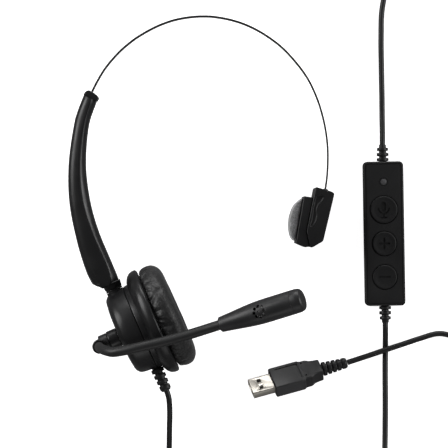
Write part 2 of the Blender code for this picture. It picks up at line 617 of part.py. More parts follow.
def build_tbar():
    half = TBAR_WIDTH / 2
    cover = slab("tbar_cover", TBAR_COVER, -half, half, BLACK_PLASTIC, TBAR)
    hollow = box("tbar_hollow", (-8.0, -26.0, -27.0), (2.7, -13.5, 27.0), None, TBAR, group=CUTTERS)
    pocket = box("tbar_pocket", (-3.1, -11.5, -8.7), (3.1, 2.0, 8.7), None, TBAR, group=CUTTERS)
    pin_hole = disc("tbar_pin_hole", TBAR_PIN_RADIUS + GAP, -12.4, 12.4, None, TBAR_HINGE, 16, group=CUTTERS)
    soften(cover, 1.1)
    cut(cover, hollow, pocket, pin_hole)

    plate = slab("tbar_plate", TBAR_PLATE, -half + 1.0, half - 1.0, BLACK_PLASTIC, TBAR)
    soften(plate, 0.9)
    for side, place in enumerate((-20.0, 20.0), 1):
        spot = new_empty(
            f"tbar_screw_axis_{side}", (-10.9, -9.6, place), TBAR, x_axis=(0, 0, 1), z_axis=(-1, 0, 0)
        )
        sink = screw_sink(f"tbar_screw_hole_{side}", spot, 2.0, -1.8, -11.5)
        cut(plate, sink)
        cut(cover, sink)
        screw(f"tbar_screw_{side}", spot, 2.0, -1.5, -0.5, -11.0)

    foam = slab("tbar_foam", TBAR_FOAM, -half + 2.4, half - 2.4, FOAM, TBAR)
    soften(foam, 1.6, angle=50.0)

    knuckle = arc((0.0, -TBAR_PIN_DROP), 2.2, math.radians(137.0), math.radians(403.0), 12)
    clip = slab(
        "band_hinge_clip", knuckle + [(1.5, 0.5), (1.0, 1.0), (-1.0, 1.0), (-1.5, 0.5)], -8.0, 8.0, BLACK_STEEL, TBAR,
    )
    pin_bore = TBAR_PIN_RADIUS + GAP
    clip_hole = disc("clip_pin_hole", pin_bore, -9.0, 9.0, None, TBAR_HINGE, 16, group=CUTTERS)
    slot = box("clip_slot", (-0.85, -3.4, -5.4), (0.85, 2.0, 5.4), None, TBAR, group=CUTTERS)
    cut(clip, clip_hole, slot)
    disc("tbar_hinge_pin", TBAR_PIN_RADIUS, -12.0, 12.0, BRIGHT_STEEL, TBAR_HINGE, 16)


# ---------------------------------------------------------------- boom and microphone

def build_boom():
    disc("boom_friction_washer", 4.9, -24.3, -23.8, RUBBER, CUP, 24, inner=2.4)
    turned("boom_hub", [
        (HUB_RADIUS, -24.6), (HUB_RADIUS, -28.9), (4.9, -29.3), (2.4, -29.3), (2.4, -24.6),
    ], BLACK_PLASTIC, CUP, steps=24, closed=True)
    turned("boom_pivot_screw", [
        (0.0, -18.9), (3.6, -18.9), (3.6, -20.9), (2.0, -20.9), (2.0, -31.6), (0.0, -31.6),
    ], BRIGHT_STEEL, CUP, steps=16)

    elbow = disc("boom_elbow", 4.8, -34.6, -29.6, GREY_PLASTIC, CUP, 24)
    post = disc("elbow_post", 3.9, -4.6, 6.2, None, ELBOW, 24, group=CUTTERS)
    bolt = disc("elbow_bolt_hole", 2.3, -32.0, -29.0, None, CUP, 16, group=CUTTERS)
    join(elbow, post)
    cut(elbow, bolt)
    turned("boom_collar", [
        (3.6, 9.4), (4.0, 8.8), (4.0, 7.1), (3.6, 6.5), (BOOM_RADIUS + 0.32, 6.5), (BOOM_RADIUS + 0.32, 9.4),
    ], BLACK_PLASTIC, ELBOW, steps=20, closed=True)
    round_cord("boom_tube", BOOM_ROUTE, BOOM_RADIUS, RUBBER, LAYOUT, 5.0)


def build_mic():
    split = 42.6
    bore = BOOM_RADIUS + 0.32
    housing = turned("mic_housing", [
        (4.0, 0.0), (4.35, 1.0), (5.0, 8.0), (5.8, 15.0), (6.35, 21.0), (MIC_RADIUS, 26.0), (MIC_RADIUS, split),
        (5.4, split), (5.4, 22.0), (4.2, 10.0), (bore, 8.0), (bore, 0.0),
    ], GREY_PLASTIC, MIC, steps=20, closed=True)
    port = new_empty("mic_port", (0.0, 0.0, 24.6), MIC, x_axis=(0, 0, 1), z_axis=(1.0, -0.12, 0.0))
    cut(housing, disc("port_hole", 0.55, 3.0, 8.0, None, port, 6, group=CUTTERS))
    for i in range(SOUND_HOLES):
        angle = 2 * math.pi * i / SOUND_HOLES
        spot = new_empty(f"port_spot_{i}", (2.9 * math.cos(angle), 2.9 * math.sin(angle), 0.0), port)
        cut(housing, disc(f"port_hole_{i}", 0.45, 3.0, 8.0, None, spot, 6, group=CUTTERS))
    end = MIC_LENGTH
    turned("mic_end_cap", [
        (0.0, split - 2.4), (4.9, split - 2.4), (5.0, split + GAP), (MIC_RADIUS, split + GAP), (6.5, end - 2.2),
        (5.6, end - 0.7), (4.0, end - 0.1), (0.0, end),
    ], GREY_PLASTIC, MIC, steps=20)
    disc("mic_capsule", 3.0, 1.6, 3.6, BRIGHT_STEEL, port, 16)


# ---------------------------------------------------------------- remote

def build_remote():
    width, length, height = REMOTE_SIZE
    outline = rounded_rectangle(width, length, REMOTE_CORNER)
    pocket = rounded_rectangle(width - 3.2, length - 3.2, REMOTE_CORNER - 1.6)
    case = slab("remote_bottom_case", outline, 0.0, REMOTE_SPLIT - GAP / 2, MATTE_PLASTIC, REMOTE)
    soften(case, 0.7)
    cut(case, slab("case_pocket", pocket, 1.6, 8.0, None, REMOTE, group=CUTTERS))
    cover = slab("remote_top_cover", outline, REMOTE_SPLIT + GAP / 2, height, MATTE_PLASTIC, REMOTE)
    soften(cover, 0.7)
    cut(cover, slab("cover_pocket", pocket, 0.0, 9.2, None, REMOTE, group=CUTTERS))

    board = box("remote_board", (-8.6, -31.0, 3.6), (8.6, 31.0, 4.6), BOARD, REMOTE)
    buttons = (("mute", MUTE_Y, MUTE_RADIUS), ("volume_up", VOLUME_UP_Y, VOLUME_RADIUS),
               ("volume_down", VOLUME_DOWN_Y, VOLUME_RADIUS))
    for label, y, radius in buttons:
        spot = new_empty(f"{label}_axis", (0.0, y, 0.0), REMOTE)
        join(board, box(f"{label}_switch", (-3.0, y - 3.0, 4.0), (3.0, y + 3.0, 6.2), None, REMOTE, group=CUTTERS))
        join(board, disc(f"{label}_plunger", 1.5, 5.5, 7.1, None, spot, 12, group=CUTTERS))
        cut(cover, disc(f"{label}_hole", radius + 0.35, 8.0, 13.0, None, spot, 24, group=CUTTERS))
        turned(f"{label}_button", [
            (0.0, BUTTON_TOP - 0.15), (radius - 1.4, BUTTON_TOP - 0.1), (radius - 0.4, BUTTON_TOP),
            (radius, BUTTON_TOP - 0.4), (radius, 8.7), (radius + 0.7, 8.7), (radius + 0.7, BUTTON_FOOT),
            (0.0, BUTTON_FOOT),
        ], MATTE_PLASTIC, spot, steps=24)

    led_axis = new_empty("led_axis", (0.0, LED_Y, 0.0), REMOTE)
    cut(cover, disc("led_hole", 2.1, 8.0, 13.0, None, led_axis, 16, group=CUTTERS))
    turned("led_lens", [
        (0.0, 11.0), (1.3, 10.95), (1.8, 10.6), (1.8, 8.8), (2.4, 8.8), (2.4, 5.2), (0.0, 5.2),
    ], SMOKED_LENS, led_axis, steps=16)

    for end, sign in (("top", 1.0), ("bottom", -1.0)):
        post_spot = new_empty(f"remote_screw_axis_{end}", (0.0, sign * REMOTE_SCREW_Y, 0.0), REMOTE)
        join(cover, disc(f"{end}_post", 2.4, REMOTE_SPLIT + 0.3, 9.6, None, post_spot, 12, group=CUTTERS))
        cut(cover, disc(f"{end}_post_hole", 1.35, 0.0, 8.8, None, post_spot, 10, group=CUTTERS))
        cut(case, disc(f"{end}_case_hole", 1.35, -1.0, 3.0, None, post_spot, 10, group=CUTTERS))
        cut(case, disc(f"{end}_sink", 2.2, -1.0, 1.0, None, post_spot, 12, group=CUTTERS))
        turned(f"remote_screw_{end}", [
            (0.0, 0.2), (1.8, 0.2), (1.8, 0.7), (1.0, 0.7), (1.0, 8.4), (0.0, 8.4),
        ], BRIGHT_STEEL, post_spot, steps=12)
        outlet = new_empty(
            f"remote_outlet_{end}", (0.0, sign * length / 2, CORD_EXIT_HEIGHT), REMOTE,
            x_axis=(0, 0, 1), z_axis=(0, sign, 0),
        )
        opening = disc(f"{end}_outlet_hole", 3.2, -2.5, 2.0, None, outlet, 16, group=CUTTERS)
        cut(case, opening)
        cut(cover, opening)
        turned(f"remote_relief_{end}", [
            (0.0, -2.4), (2.2, -2.4), (2.2, 1.0), (2.9, 1.3), (2.9, 3.6), (2.0, 4.0), (2.0, 4.9), (2.9, 5.2),
            (2.9, 7.6), (2.0, 8.3), (2.0, RELIEF_LENGTH), (0.0, RELIEF_LENGTH),
        ], RUBBER, outlet, steps=12)


# ---------------------------------------------------------------- USB plug

def build_plug():
    half_width, half_height = SHELL_SIZE[0] / 2, SHELL_SIZE[1] / 2
    inner = 0.4
    shell = box("usb_shell", (-half_width, -half_height, -6.0), (half_width, half_height, SHELL_LENGTH), NICKEL, PLUG)
    soften(shell, 0.35)
    cut(shell, box(
        "shell_bore", (inner - half_width, inner - half_height, -8.0), (half_width - inner, half_height - inner, 16.0),
        None, PLUG, group=CUTTERS,
    ))
    for i, x in enumerate((-2.6, 2.6)):
        cut(shell, box(f"shell_window_{i}", (x - 1.2, -4.0, 5.4), (x + 1.2, 4.0, 7.6), None, PLUG, group=CUTTERS))
    box("usb_tongue", (-5.25, -1.5, -5.6), (5.25, 0.0, 11.3), WHITE_PLASTIC, PLUG)

    outline = [
        (7.4, -0.3), (8.0, -1.2), (8.0, -16.5), (7.3, -19.5), (5.4, -24.5), (4.9, -OVERMOLD_LENGTH),
    ]
    frame = new_empty("overmold_frame", (0.0, 0.0, 0.0), PLUG, x_axis=(1, 0, 0), z_axis=(0, -1, 0))
    overmold = slab(
        "usb_overmold", [(x, z) for x, z in outline] + [(-x, z) for x, z in reversed(outline)],
        -4.0, 4.0, GREY_PLASTIC, frame,
    )
    soften(overmold, 1.4, segments=2, angle=40.0)
    cut(overmold, box(
        "overmold_socket", (-half_width - GAP, -half_height - GAP, -6.4), (half_width + GAP, half_height + GAP, 2.0),
        None, PLUG, group=CUTTERS,
    ))
    tail = new_empty("plug_tail", (0.0, 0.0, -OVERMOLD_LENGTH - GAP), PLUG, x_axis=(1, 0, 0), z_axis=(0, 0, -1))
    ribbed_relief("usb_strain_relief", 0.0, PLUG_RELIEF_LENGTH, 3.9, 3.1, 5, tail)


# ---------------------------------------------------------------- cords

def build_cords():
    runs = (
        ("cord_cup_fall", CUP_CORD_FALL), ("cord_cup_run", CUP_CORD_RUN),
        ("cord_usb_drop", USB_CORD_DROP), ("cord_usb_run", USB_CORD_RUN),
    )
    for name, route in runs:
        round_cord(name, route, CORD_RADIUS, RUBBER, LAYOUT, 9.0)
    for name, centre in (("cord_cup_coil", CUP_COIL_CENTRE), ("cord_usb_coil", USB_COIL_CENTRE)):
        spot = new_empty(f"{name}_axis", (*centre, 0.0), LAYOUT)
        turned(name, COIL_SECTION, RUBBER, spot, steps=20, closed=True)


build_cup()
build_gland()
build_band(build_arm())
build_tbar()
build_boom()
build_mic()
build_remote()
build_plug()
build_cords()
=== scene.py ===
"""Office headset: one ear cup, a boom microphone, an inline remote and a USB plug, dressed around its frame.

Each sub-assembly is a class. It models its own pieces with edit-mode operators, in millimetres in a local
frame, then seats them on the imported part. Each finish is a frozen dataclass that lays out its own nodes.
"""

from __future__ import annotations

import json
import logging
import math
import random
from dataclasses import dataclass, field
from enum import Enum
from typing import Callable, Iterable, Optional, Sequence

import bpy
from mathutils import Matrix, Vector

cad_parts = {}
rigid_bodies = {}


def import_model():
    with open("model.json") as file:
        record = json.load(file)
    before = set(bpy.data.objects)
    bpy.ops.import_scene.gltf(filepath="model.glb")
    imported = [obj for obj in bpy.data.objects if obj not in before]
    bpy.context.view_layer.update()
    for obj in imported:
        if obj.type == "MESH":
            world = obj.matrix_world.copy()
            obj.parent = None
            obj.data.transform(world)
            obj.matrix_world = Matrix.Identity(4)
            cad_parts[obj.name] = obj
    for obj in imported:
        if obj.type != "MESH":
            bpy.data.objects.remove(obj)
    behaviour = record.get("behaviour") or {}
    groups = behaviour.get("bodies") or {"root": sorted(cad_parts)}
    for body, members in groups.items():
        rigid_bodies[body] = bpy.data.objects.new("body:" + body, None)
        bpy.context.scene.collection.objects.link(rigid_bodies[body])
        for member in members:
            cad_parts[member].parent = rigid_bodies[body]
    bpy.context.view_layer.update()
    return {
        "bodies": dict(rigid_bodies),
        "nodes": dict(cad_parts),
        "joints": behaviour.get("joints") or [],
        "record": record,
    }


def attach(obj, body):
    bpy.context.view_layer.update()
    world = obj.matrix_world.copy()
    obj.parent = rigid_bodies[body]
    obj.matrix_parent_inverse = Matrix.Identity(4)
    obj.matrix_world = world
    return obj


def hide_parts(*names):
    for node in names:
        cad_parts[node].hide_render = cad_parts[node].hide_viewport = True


LOG = logging.getLogger("headset")
MM = 0.001
MERGE = 0.000002
POINT = tuple[float, float]
SPOT = tuple[float, float, float]
PIECE = bpy.types.Object
MATERIAL = bpy.types.Material
STATION = tuple[Vector, float, float, float]

DESIGN_ORIGIN = (1.48, 33.73, 0.0)
BAND_HEIGHT = 30.0
CUP_LEAN = math.radians(23.8)
CORD_RADIUS = 1.55
SCREW_RADIUS = 1.35
SCREW_HEAD_RADIUS = 2.4


class Body(str, Enum):
    """The moving bodies of the part."""

    CUP = "ear_cup"
    ARM = "arm"
    BAND = "band"
    TBAR = "tbar"
    BOOM = "boom"
    MUTE = "mute_key"
    LOUDER = "volume_up_key"
    SOFTER = "volume_down_key"


class Slot(str, Enum):
    """The finishes that the record names."""

    SATIN_BLACK = "satin_black"
    DARK_GREY = "dark_grey"
    REMOTE_BLACK = "remote_black"
    BUTTON = "button_rubber"
    LEATHERETTE = "leatherette"
    FOAM = "grey_foam"
    CORD = "cord_rubber"
    BOOM = "boom_rubber"
    BAND_STEEL = "band_steel"
    BARE_STEEL = "bare_steel"
    NICKEL = "nickel"
    WHITE = "white_plastic"
    BOARD = "circuit_board"
    CLOTH = "speaker_cloth"
    FILM = "speaker_film"
    LENS = "led_lens"


class Icon(Enum):
    """The sign sunk into a button."""

    MICROPHONE = "microphone"
    PLUS = "plus"
    MINUS = "minus"


# ---------------------------------------------------------------- places


@dataclass(frozen=True)
class Frame:
    """A local frame: millimetres, with +Z along one direction and +X along another."""

    matrix: Matrix

    @classmethod
    def at(cls, origin: Sequence[float], x_axis: Sequence[float] = (1, 0, 0),
           z_axis: Sequence[float] = (0, 0, 1), parent: Optional["Frame"] = None) -> "Frame":
        """A frame at a place, inside another frame or on the table.

        Args:
            origin: the frame's origin, in millimetres.
            x_axis: the direction that +X leans towards.
            z_axis: the direction of +Z.
            parent: the frame that these are measured in.

        Returns:
            The new frame, measured from the world origin.
        """
        along = Vector(z_axis).normalized()
        side = Vector(x_axis)
        side = (side - side.dot(along) * along).normalized()
        turn = Matrix((side, along.cross(side), along)).transposed().to_4x4()
        local = Matrix.Translation(Vector(origin)) @ turn
        return cls(parent.matrix @ local if parent else local)

    def to_world(self) -> Matrix:
        """The matrix that takes local metres to world metres."""
        matrix = self.matrix.copy()
        matrix.translation *= MM
        return matrix

    def point(self, spot: Sequence[float]) -> Vector:
        """A local spot in world metres."""
        return (self.matrix @ Vector(spot)) * MM


TABLE = Frame.at(DESIGN_ORIGIN)
CUP_AXIS = (math.cos(CUP_LEAN), math.sin(CUP_LEAN), 0.0)
CUP_UP = (-math.sin(CUP_LEAN), math.cos(CUP_LEAN), 0.0)
CUP = Frame.at((-24.7, -97.2, BAND_HEIGHT), CUP_UP, CUP_AXIS, TABLE)
NECK = Frame.at((0.0, 0.0, -15.5), (0, 1, 0), (1, 0, 0), CUP)
GLAND = Frame.at((0.0, 0.0, -11.6), (0, 1, 0), (-1, 0, 0), CUP)


# ---------------------------------------------------------------- outlines


def smooth_points(route: Sequence[Sequence[float]], per_span: int) -> list[Vector]:
    """Points on a Catmull-Rom curve through a route.

    Args:
        route: the points that the curve passes through.
        per_span: how many points it gets between two of them.

    Returns:
        The points, from the first of the route to its last.
    """
    knots = [Vector(point) for point in route]
    knots = [2 * knots[0] - knots[1]] + knots + [2 * knots[-1] - knots[-2]]
    points = []
    for before, start, end, after in zip(knots, knots[1:], knots[2:], knots[3:]):
        for step in range(per_span):
            t = step / per_span
            points.append(0.5 * (2 * start + (end - before) * t
                                 + (2 * before - 5 * start + 4 * end - after) * t ** 2
                                 + (3 * start - before - 3 * end + after) * t ** 3))
    points.append(knots[-2])
    return points


def even_points(route: Sequence[Sequence[float]], count: int) -> list[Vector]:
    """Points at even steps along the smooth curve through a route.

    Args:
        route: the points that the curve passes through.
        count: how many steps it is divided into.

    Returns:
        count + 1 points.
    """
    fine = smooth_points(route, 16)
    reached = [0.0]
    for a, b in zip(fine, fine[1:]):
        reached.append(reached[-1] + (b - a).length)
    points, index = [], 0
    for step in range(count + 1):
        target = reached[-1] * step / count
        while index < len(fine) - 2 and reached[index + 1] < target:
            index += 1
        span = reached[index + 1] - reached[index]
        points.append(fine[index].lerp(fine[index + 1], (target - reached[index]) / span))
    return points


def path_length(points: Sequence[Vector]) -> float:
    """The length of a line through points."""
    return sum((b - a).length for a, b in zip(points, points[1:]))


def arc(centre: POINT, radius: float, start: float, end: float, steps: int) -> list[POINT]:
    """Points on an arc, its angles in degrees."""
    angles = [math.radians(start + (end - start) * i / steps) for i in range(steps + 1)]
    return [(centre[0] + radius * math.cos(a), centre[1] + radius * math.sin(a)) for a in angles]


def rounded_rectangle(width: float, length: float, corner: float, steps: int = 6) -> list[POINT]:
    """A rectangle's outline with round corners, about the origin."""
    outline = []
    for quarter, (sx, sy) in enumerate(((1, 1), (-1, 1), (-1, -1), (1, -1))):
        centre = (sx * (width / 2 - corner), sy * (length / 2 - corner))
        outline += arc(centre, corner, quarter * 90.0, (quarter + 1) * 90.0, steps)
    return outline


def rounded(profile: Sequence[POINT], radius: float, steps: int = 4, closed: bool = True) -> list[POINT]:
    """A profile with its corners filleted.

    Args:
        profile: the corner points in order.
        radius: the fillet's reach along each side, at most 0.45 of the shorter side.
        steps: how many segments each fillet has.
        closed: whether the last point joins the first, or both ends stay sharp.

    Returns:
        The filleted profile's points.
    """
    corners = [Vector(point) for point in profile]
    result: list[POINT] = []
    for i, corner in enumerate(corners):
        if not closed and i in (0, len(corners) - 1):
            result.append(tuple(corner))
            continue
        before, after = corners[i - 1], corners[(i + 1) % len(corners)]
        to_before, to_after = before - corner, after - corner
        if to_before.length < 1e-6 or to_after.length < 1e-6 or corner.x < 1e-6:
            result.append(tuple(corner))
            continue
        reach = min(radius, 0.45 * to_before.length, 0.45 * to_after.length)
        start = corner + to_before.normalized() * reach
        end = corner + to_after.normalized() * reach
        for step in range(steps + 1):
            t = step / steps
            result.append(tuple((1 - t) ** 2 * start + 2 * t * (1 - t) * corner + t ** 2 * end))
    return result


# ---------------------------------------------------------------- modelling


def deselect() -> None:
    """Leaves nothing selected and no mesh in edit mode."""
    if bpy.context.mode != "OBJECT":
        bpy.ops.object.mode_set(mode="OBJECT")
    bpy.ops.object.select_all(action="DESELECT")


def take(piece: PIECE) -> None:
    """Selects one object alone and makes it active."""
    deselect()
    piece.select_set(True)
    bpy.context.view_layer.objects.active = piece


def first_vertex(name: str, spot: Sequence[float]) -> PIECE:
    """A new object in edit mode that is a single selected vertex.

    Args:
        name: the object's name.
        spot: the vertex's place, in millimetres.

    Returns:
        The object.
    """
    deselect()
    bpy.ops.mesh.primitive_plane_add(size=MM)
    piece = bpy.context.object
    piece.name = name
    piece.data.name = name
    bpy.ops.object.mode_set(mode="EDIT")
    bpy.ops.mesh.select_mode(type="VERT")
    bpy.ops.mesh.select_all(action="SELECT")
    bpy.ops.mesh.merge(type="CENTER")
    bpy.ops.transform.translate(value=Vector(spot) * MM)
    return piece


def draw_line(name: str, spots: Sequence[Sequence[float]], closed: bool) -> PIECE:
    """Draws a line of vertices by extruding each from the one before.

    Args:
        name: the object's name.
        spots: the vertices' places, in millimetres.
        closed: whether the last vertex joins the first.

    Returns:
        The object in edit mode, all of it selected.
    """
    piece = first_vertex(name, spots[0])
    route = [Vector(spot) for spot in spots]
    if closed:
        route.append(route[0])
    for a, b in zip(route, route[1:]):
        bpy.ops.mesh.extrude_region_move(TRANSFORM_OT_translate={"value": (b - a) * MM})
    bpy.ops.mesh.select_all(action="SELECT")
    if closed:
        bpy.ops.mesh.remove_doubles(threshold=MERGE)
    return piece


def finish_faces() -> None:
    """Merges doubles, turns the faces outwards and leaves edit mode."""
    bpy.ops.mesh.select_all(action="SELECT")
    bpy.ops.mesh.remove_doubles(threshold=MERGE)
    bpy.ops.mesh.normals_make_consistent(inside=False)
    bpy.ops.object.mode_set(mode="OBJECT")


def lathe(name: str, profile: Sequence[POINT], steps: int = 64, closed: bool = False) -> PIECE:
    """Spins a profile of (radius, height) about the local Z axis.

    Args:
        name: the piece's name.
        profile: the points in order, in millimetres. Both ends lie on the axis, unless it is closed.
        steps: how many segments it has round the axis.
        closed: whether the profile is a loop clear of the axis.

    Returns:
        The closed piece.
    """
    piece = draw_line(name, [(r, 0.0, h) for r, h in profile], closed)
    bpy.ops.mesh.spin(steps=steps, angle=math.tau, center=(0, 0, 0), axis=(0, 0, 1))
    finish_faces()
    return piece


def prism(name: str, outline: Sequence[POINT], low: float, high: float) -> PIECE:
    """Fills an outline in the local XY plane and extrudes it between two heights.

    Args:
        name: the piece's name.
        outline: the points in order, in millimetres.
        low: the lower face's height.
        high: the upper face's height.

    Returns:
        The closed piece.
    """
    piece = draw_line(name, [(x, y, low) for x, y in outline], True)
    bpy.ops.mesh.edge_face_add()
    bpy.ops.mesh.extrude_region_move(TRANSFORM_OT_translate={"value": (0, 0, (high - low) * MM)})
    finish_faces()
    return piece


def block(name: str, low: SPOT, high: SPOT) -> PIECE:
    """A box between two corners, in millimetres, for a cut or as the start of a piece."""
    return prism(name, [(low[0], low[1]), (high[0], low[1]), (high[0], high[1]), (low[0], high[1])],
                 low[2], high[2])


def bore(name: str, radius: float, low: float, high: float, steps: int = 32) -> PIECE:
    """A round cutter along the local Z axis, between two heights in millimetres."""
    return lathe(name, [(0.0, high), (radius, high), (radius, low), (0.0, low)], steps)


def screw_bore(name: str, low: float, floor: float, high: float) -> PIECE:
    """The cutter for a screw along the local Z axis, its head sunk from +Z down to a floor."""
    return lathe(name, [(0.0, high), (SCREW_HEAD_RADIUS, high), (SCREW_HEAD_RADIUS, floor),
                        (SCREW_RADIUS, floor), (SCREW_RADIUS, low), (0.0, low)], 32)


def round_tube(name: str, points: Sequence[Vector], radius: float, resolution: int) -> PIECE:
    """A round tube with closed ends, as a curve of one open spline.

    Args:
        name: the piece's name.
        points: the points that it follows, in metres.
        radius: its radius, in millimetres.
        resolution: the curve's bevel resolution.

    Returns:
        The curve's object.
    """
    curve = bpy.data.curves.new(name, "CURVE")
    curve.dimensions = "3D"
    curve.bevel_depth = radius * MM
    curve.bevel_resolution = resolution
    curve.use_fill_caps = True
    spline = curve.splines.new("POLY")
    spline.points.add(len(points) - 1)
    for knot, point in zip(spline.points, points):
        knot.co = (*point, 1.0)
    tube = bpy.data.objects.new(name, curve)
    bpy.context.scene.collection.objects.link(tube)
    return tube


def smoothstep(value: float) -> float:
    """0 below 0, 1 above 1, and smooth between."""
    t = min(max(value, 0.0), 1.0)
    return t * t * (3.0 - 2.0 * t)


def turn_selected(angle: float, centre: Vector, axis: str = "Z") -> None:
    """Turns the selection counter-clockwise by an angle in radians about a centre in metres."""
    bpy.ops.transform.rotate(value=-angle, orient_axis=axis, center_override=centre)


def loft(name: str, section: Sequence[POINT], stations: Sequence[STATION]) -> PIECE:
    """Extrudes a section along stations, turning and scaling it at each.

    Args:
        name: the piece's name.
        section: the closed section, 0 to 1 across and -1 to 1 in height.
        stations: for each, its anchor in millimetres, its angle in the plane, its width and its half height.

    Returns:
        The closed piece.
    """
    anchor, angle, width, height = stations[0]
    piece = draw_line(name, [(u * width, 0.0, v * height) for u, v in section], True)
    bpy.ops.mesh.edge_face_add()
    turn_selected(angle, Vector())
    bpy.ops.transform.translate(value=anchor * MM)
    for place, next_angle, next_width, next_height in stations[1:]:
        bpy.ops.mesh.extrude_region_move(TRANSFORM_OT_translate={"value": (place - anchor) * MM})
        turn_selected(-angle, place * MM)
        bpy.ops.transform.resize(value=(next_width / width, 1.0, next_height / height),
                                 center_override=place * MM)
        turn_selected(next_angle, place * MM)
        anchor, angle, width, height = place, next_angle, next_width, next_height
    finish_faces()
    return piece


def apply_modifiers(piece: PIECE) -> None:
    """Applies every modifier of a piece in order."""
    take(piece)
    for modifier in list(piece.modifiers):
        bpy.ops.object.modifier_apply(modifier=modifier.name)


def bevel(piece: PIECE, width: float, segments: int = 3, angle: float = 30.0) -> PIECE:
    """Rounds a piece's sharp edges with a Bevel modifier and applies it.

    Args:
        piece: the piece.
        width: the bevel's width, in millimetres.
        segments: how many segments it has.
        angle: the least angle of an edge that it rounds, in degrees.

    Returns:
        The piece.
    """
    rounding = piece.modifiers.new("rounded edges", "BEVEL")
    rounding.width = width * MM
    rounding.segments = segments
    rounding.limit_method = "ANGLE"
    rounding.angle_limit = math.radians(angle)
    rounding.miter_outer = "MITER_ARC"
    apply_modifiers(piece)
    return piece


def boolean(piece: PIECE, operation: str, others: Iterable[PIECE]) -> PIECE:
    """Cuts or joins other solids into a piece and removes them.

    Args:
        piece: the piece.
        operation: DIFFERENCE or UNION.
        others: the solids, each used up.

    Returns:
        The piece.
    """
    for other in others:
        change = piece.modifiers.new("boolean", "BOOLEAN")
        change.operation = operation
        change.object = other
        apply_modifiers(piece)
        bpy.data.objects.remove(other, do_unlink=True)
    return piece


def cut(piece: PIECE, *cutters: PIECE) -> PIECE:
    """Takes the cutters out of a piece."""
    return boolean(piece, "DIFFERENCE", cutters)


def fuse(piece: PIECE, *others: PIECE) -> PIECE:
    """Makes a piece and others one solid."""
    return boolean(piece, "UNION", others)


def move(piece: PIECE, frame: Frame) -> PIECE:
    """Moves a piece from its local frame and applies the move to its mesh."""
    take(piece)
    piece.matrix_world = frame.to_world()
    bpy.ops.object.transform_apply(location=True, rotation=True, scale=True)
    return piece


def group(name: str, pieces: Sequence[PIECE]) -> PIECE:
    """Joins copies that lie clear of each other into one object."""
    take(pieces[0])
    for piece in pieces[1:]:
        piece.select_set(True)
    bpy.ops.object.join()
    pieces[0].name = name
    return pieces[0]


def seat(piece: PIECE, frame: Optional[Frame], body: Body, finish: MATERIAL, slot: Slot,
         replaces: Sequence[str] = (), smooth: float = 32.0) -> PIECE:
    """Puts a finished piece in its place, dresses it and lets it ride on its body.

    Args:
        piece: the piece, in its local frame.
        frame: the frame that it was modelled in, or None if it is in place.
        body: the body that it moves with.
        finish: its material.
        slot: the record's slot for that finish.
        replaces: the CAD nodes that it stands for.
        smooth: the angle under which its edges are shaded smooth, in degrees.

    Returns:
        The piece.
    """
    if frame is not None:
        move(piece, frame)
    take(piece)
    if piece.type == "MESH":
        bpy.ops.object.shade_smooth_by_angle(angle=math.radians(smooth))
    piece.data.materials.clear()
    piece.data.materials.append(finish)
    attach(piece, body.value)
    if replaces:
        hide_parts(*replaces)
    LOG.info("%s on %s, %s", piece.name, body.value, slot.value)
    return piece


# ---------------------------------------------------------------- finishes


def new_material(name: str) -> tuple[MATERIAL, bpy.types.Nodes, bpy.types.NodeLinks]:
    """An empty node material, with its nodes and links."""
    material = bpy.data.materials.new(name)
    material.use_nodes = True
    material.node_tree.nodes.clear()
    return material, material.node_tree.nodes, material.node_tree.links


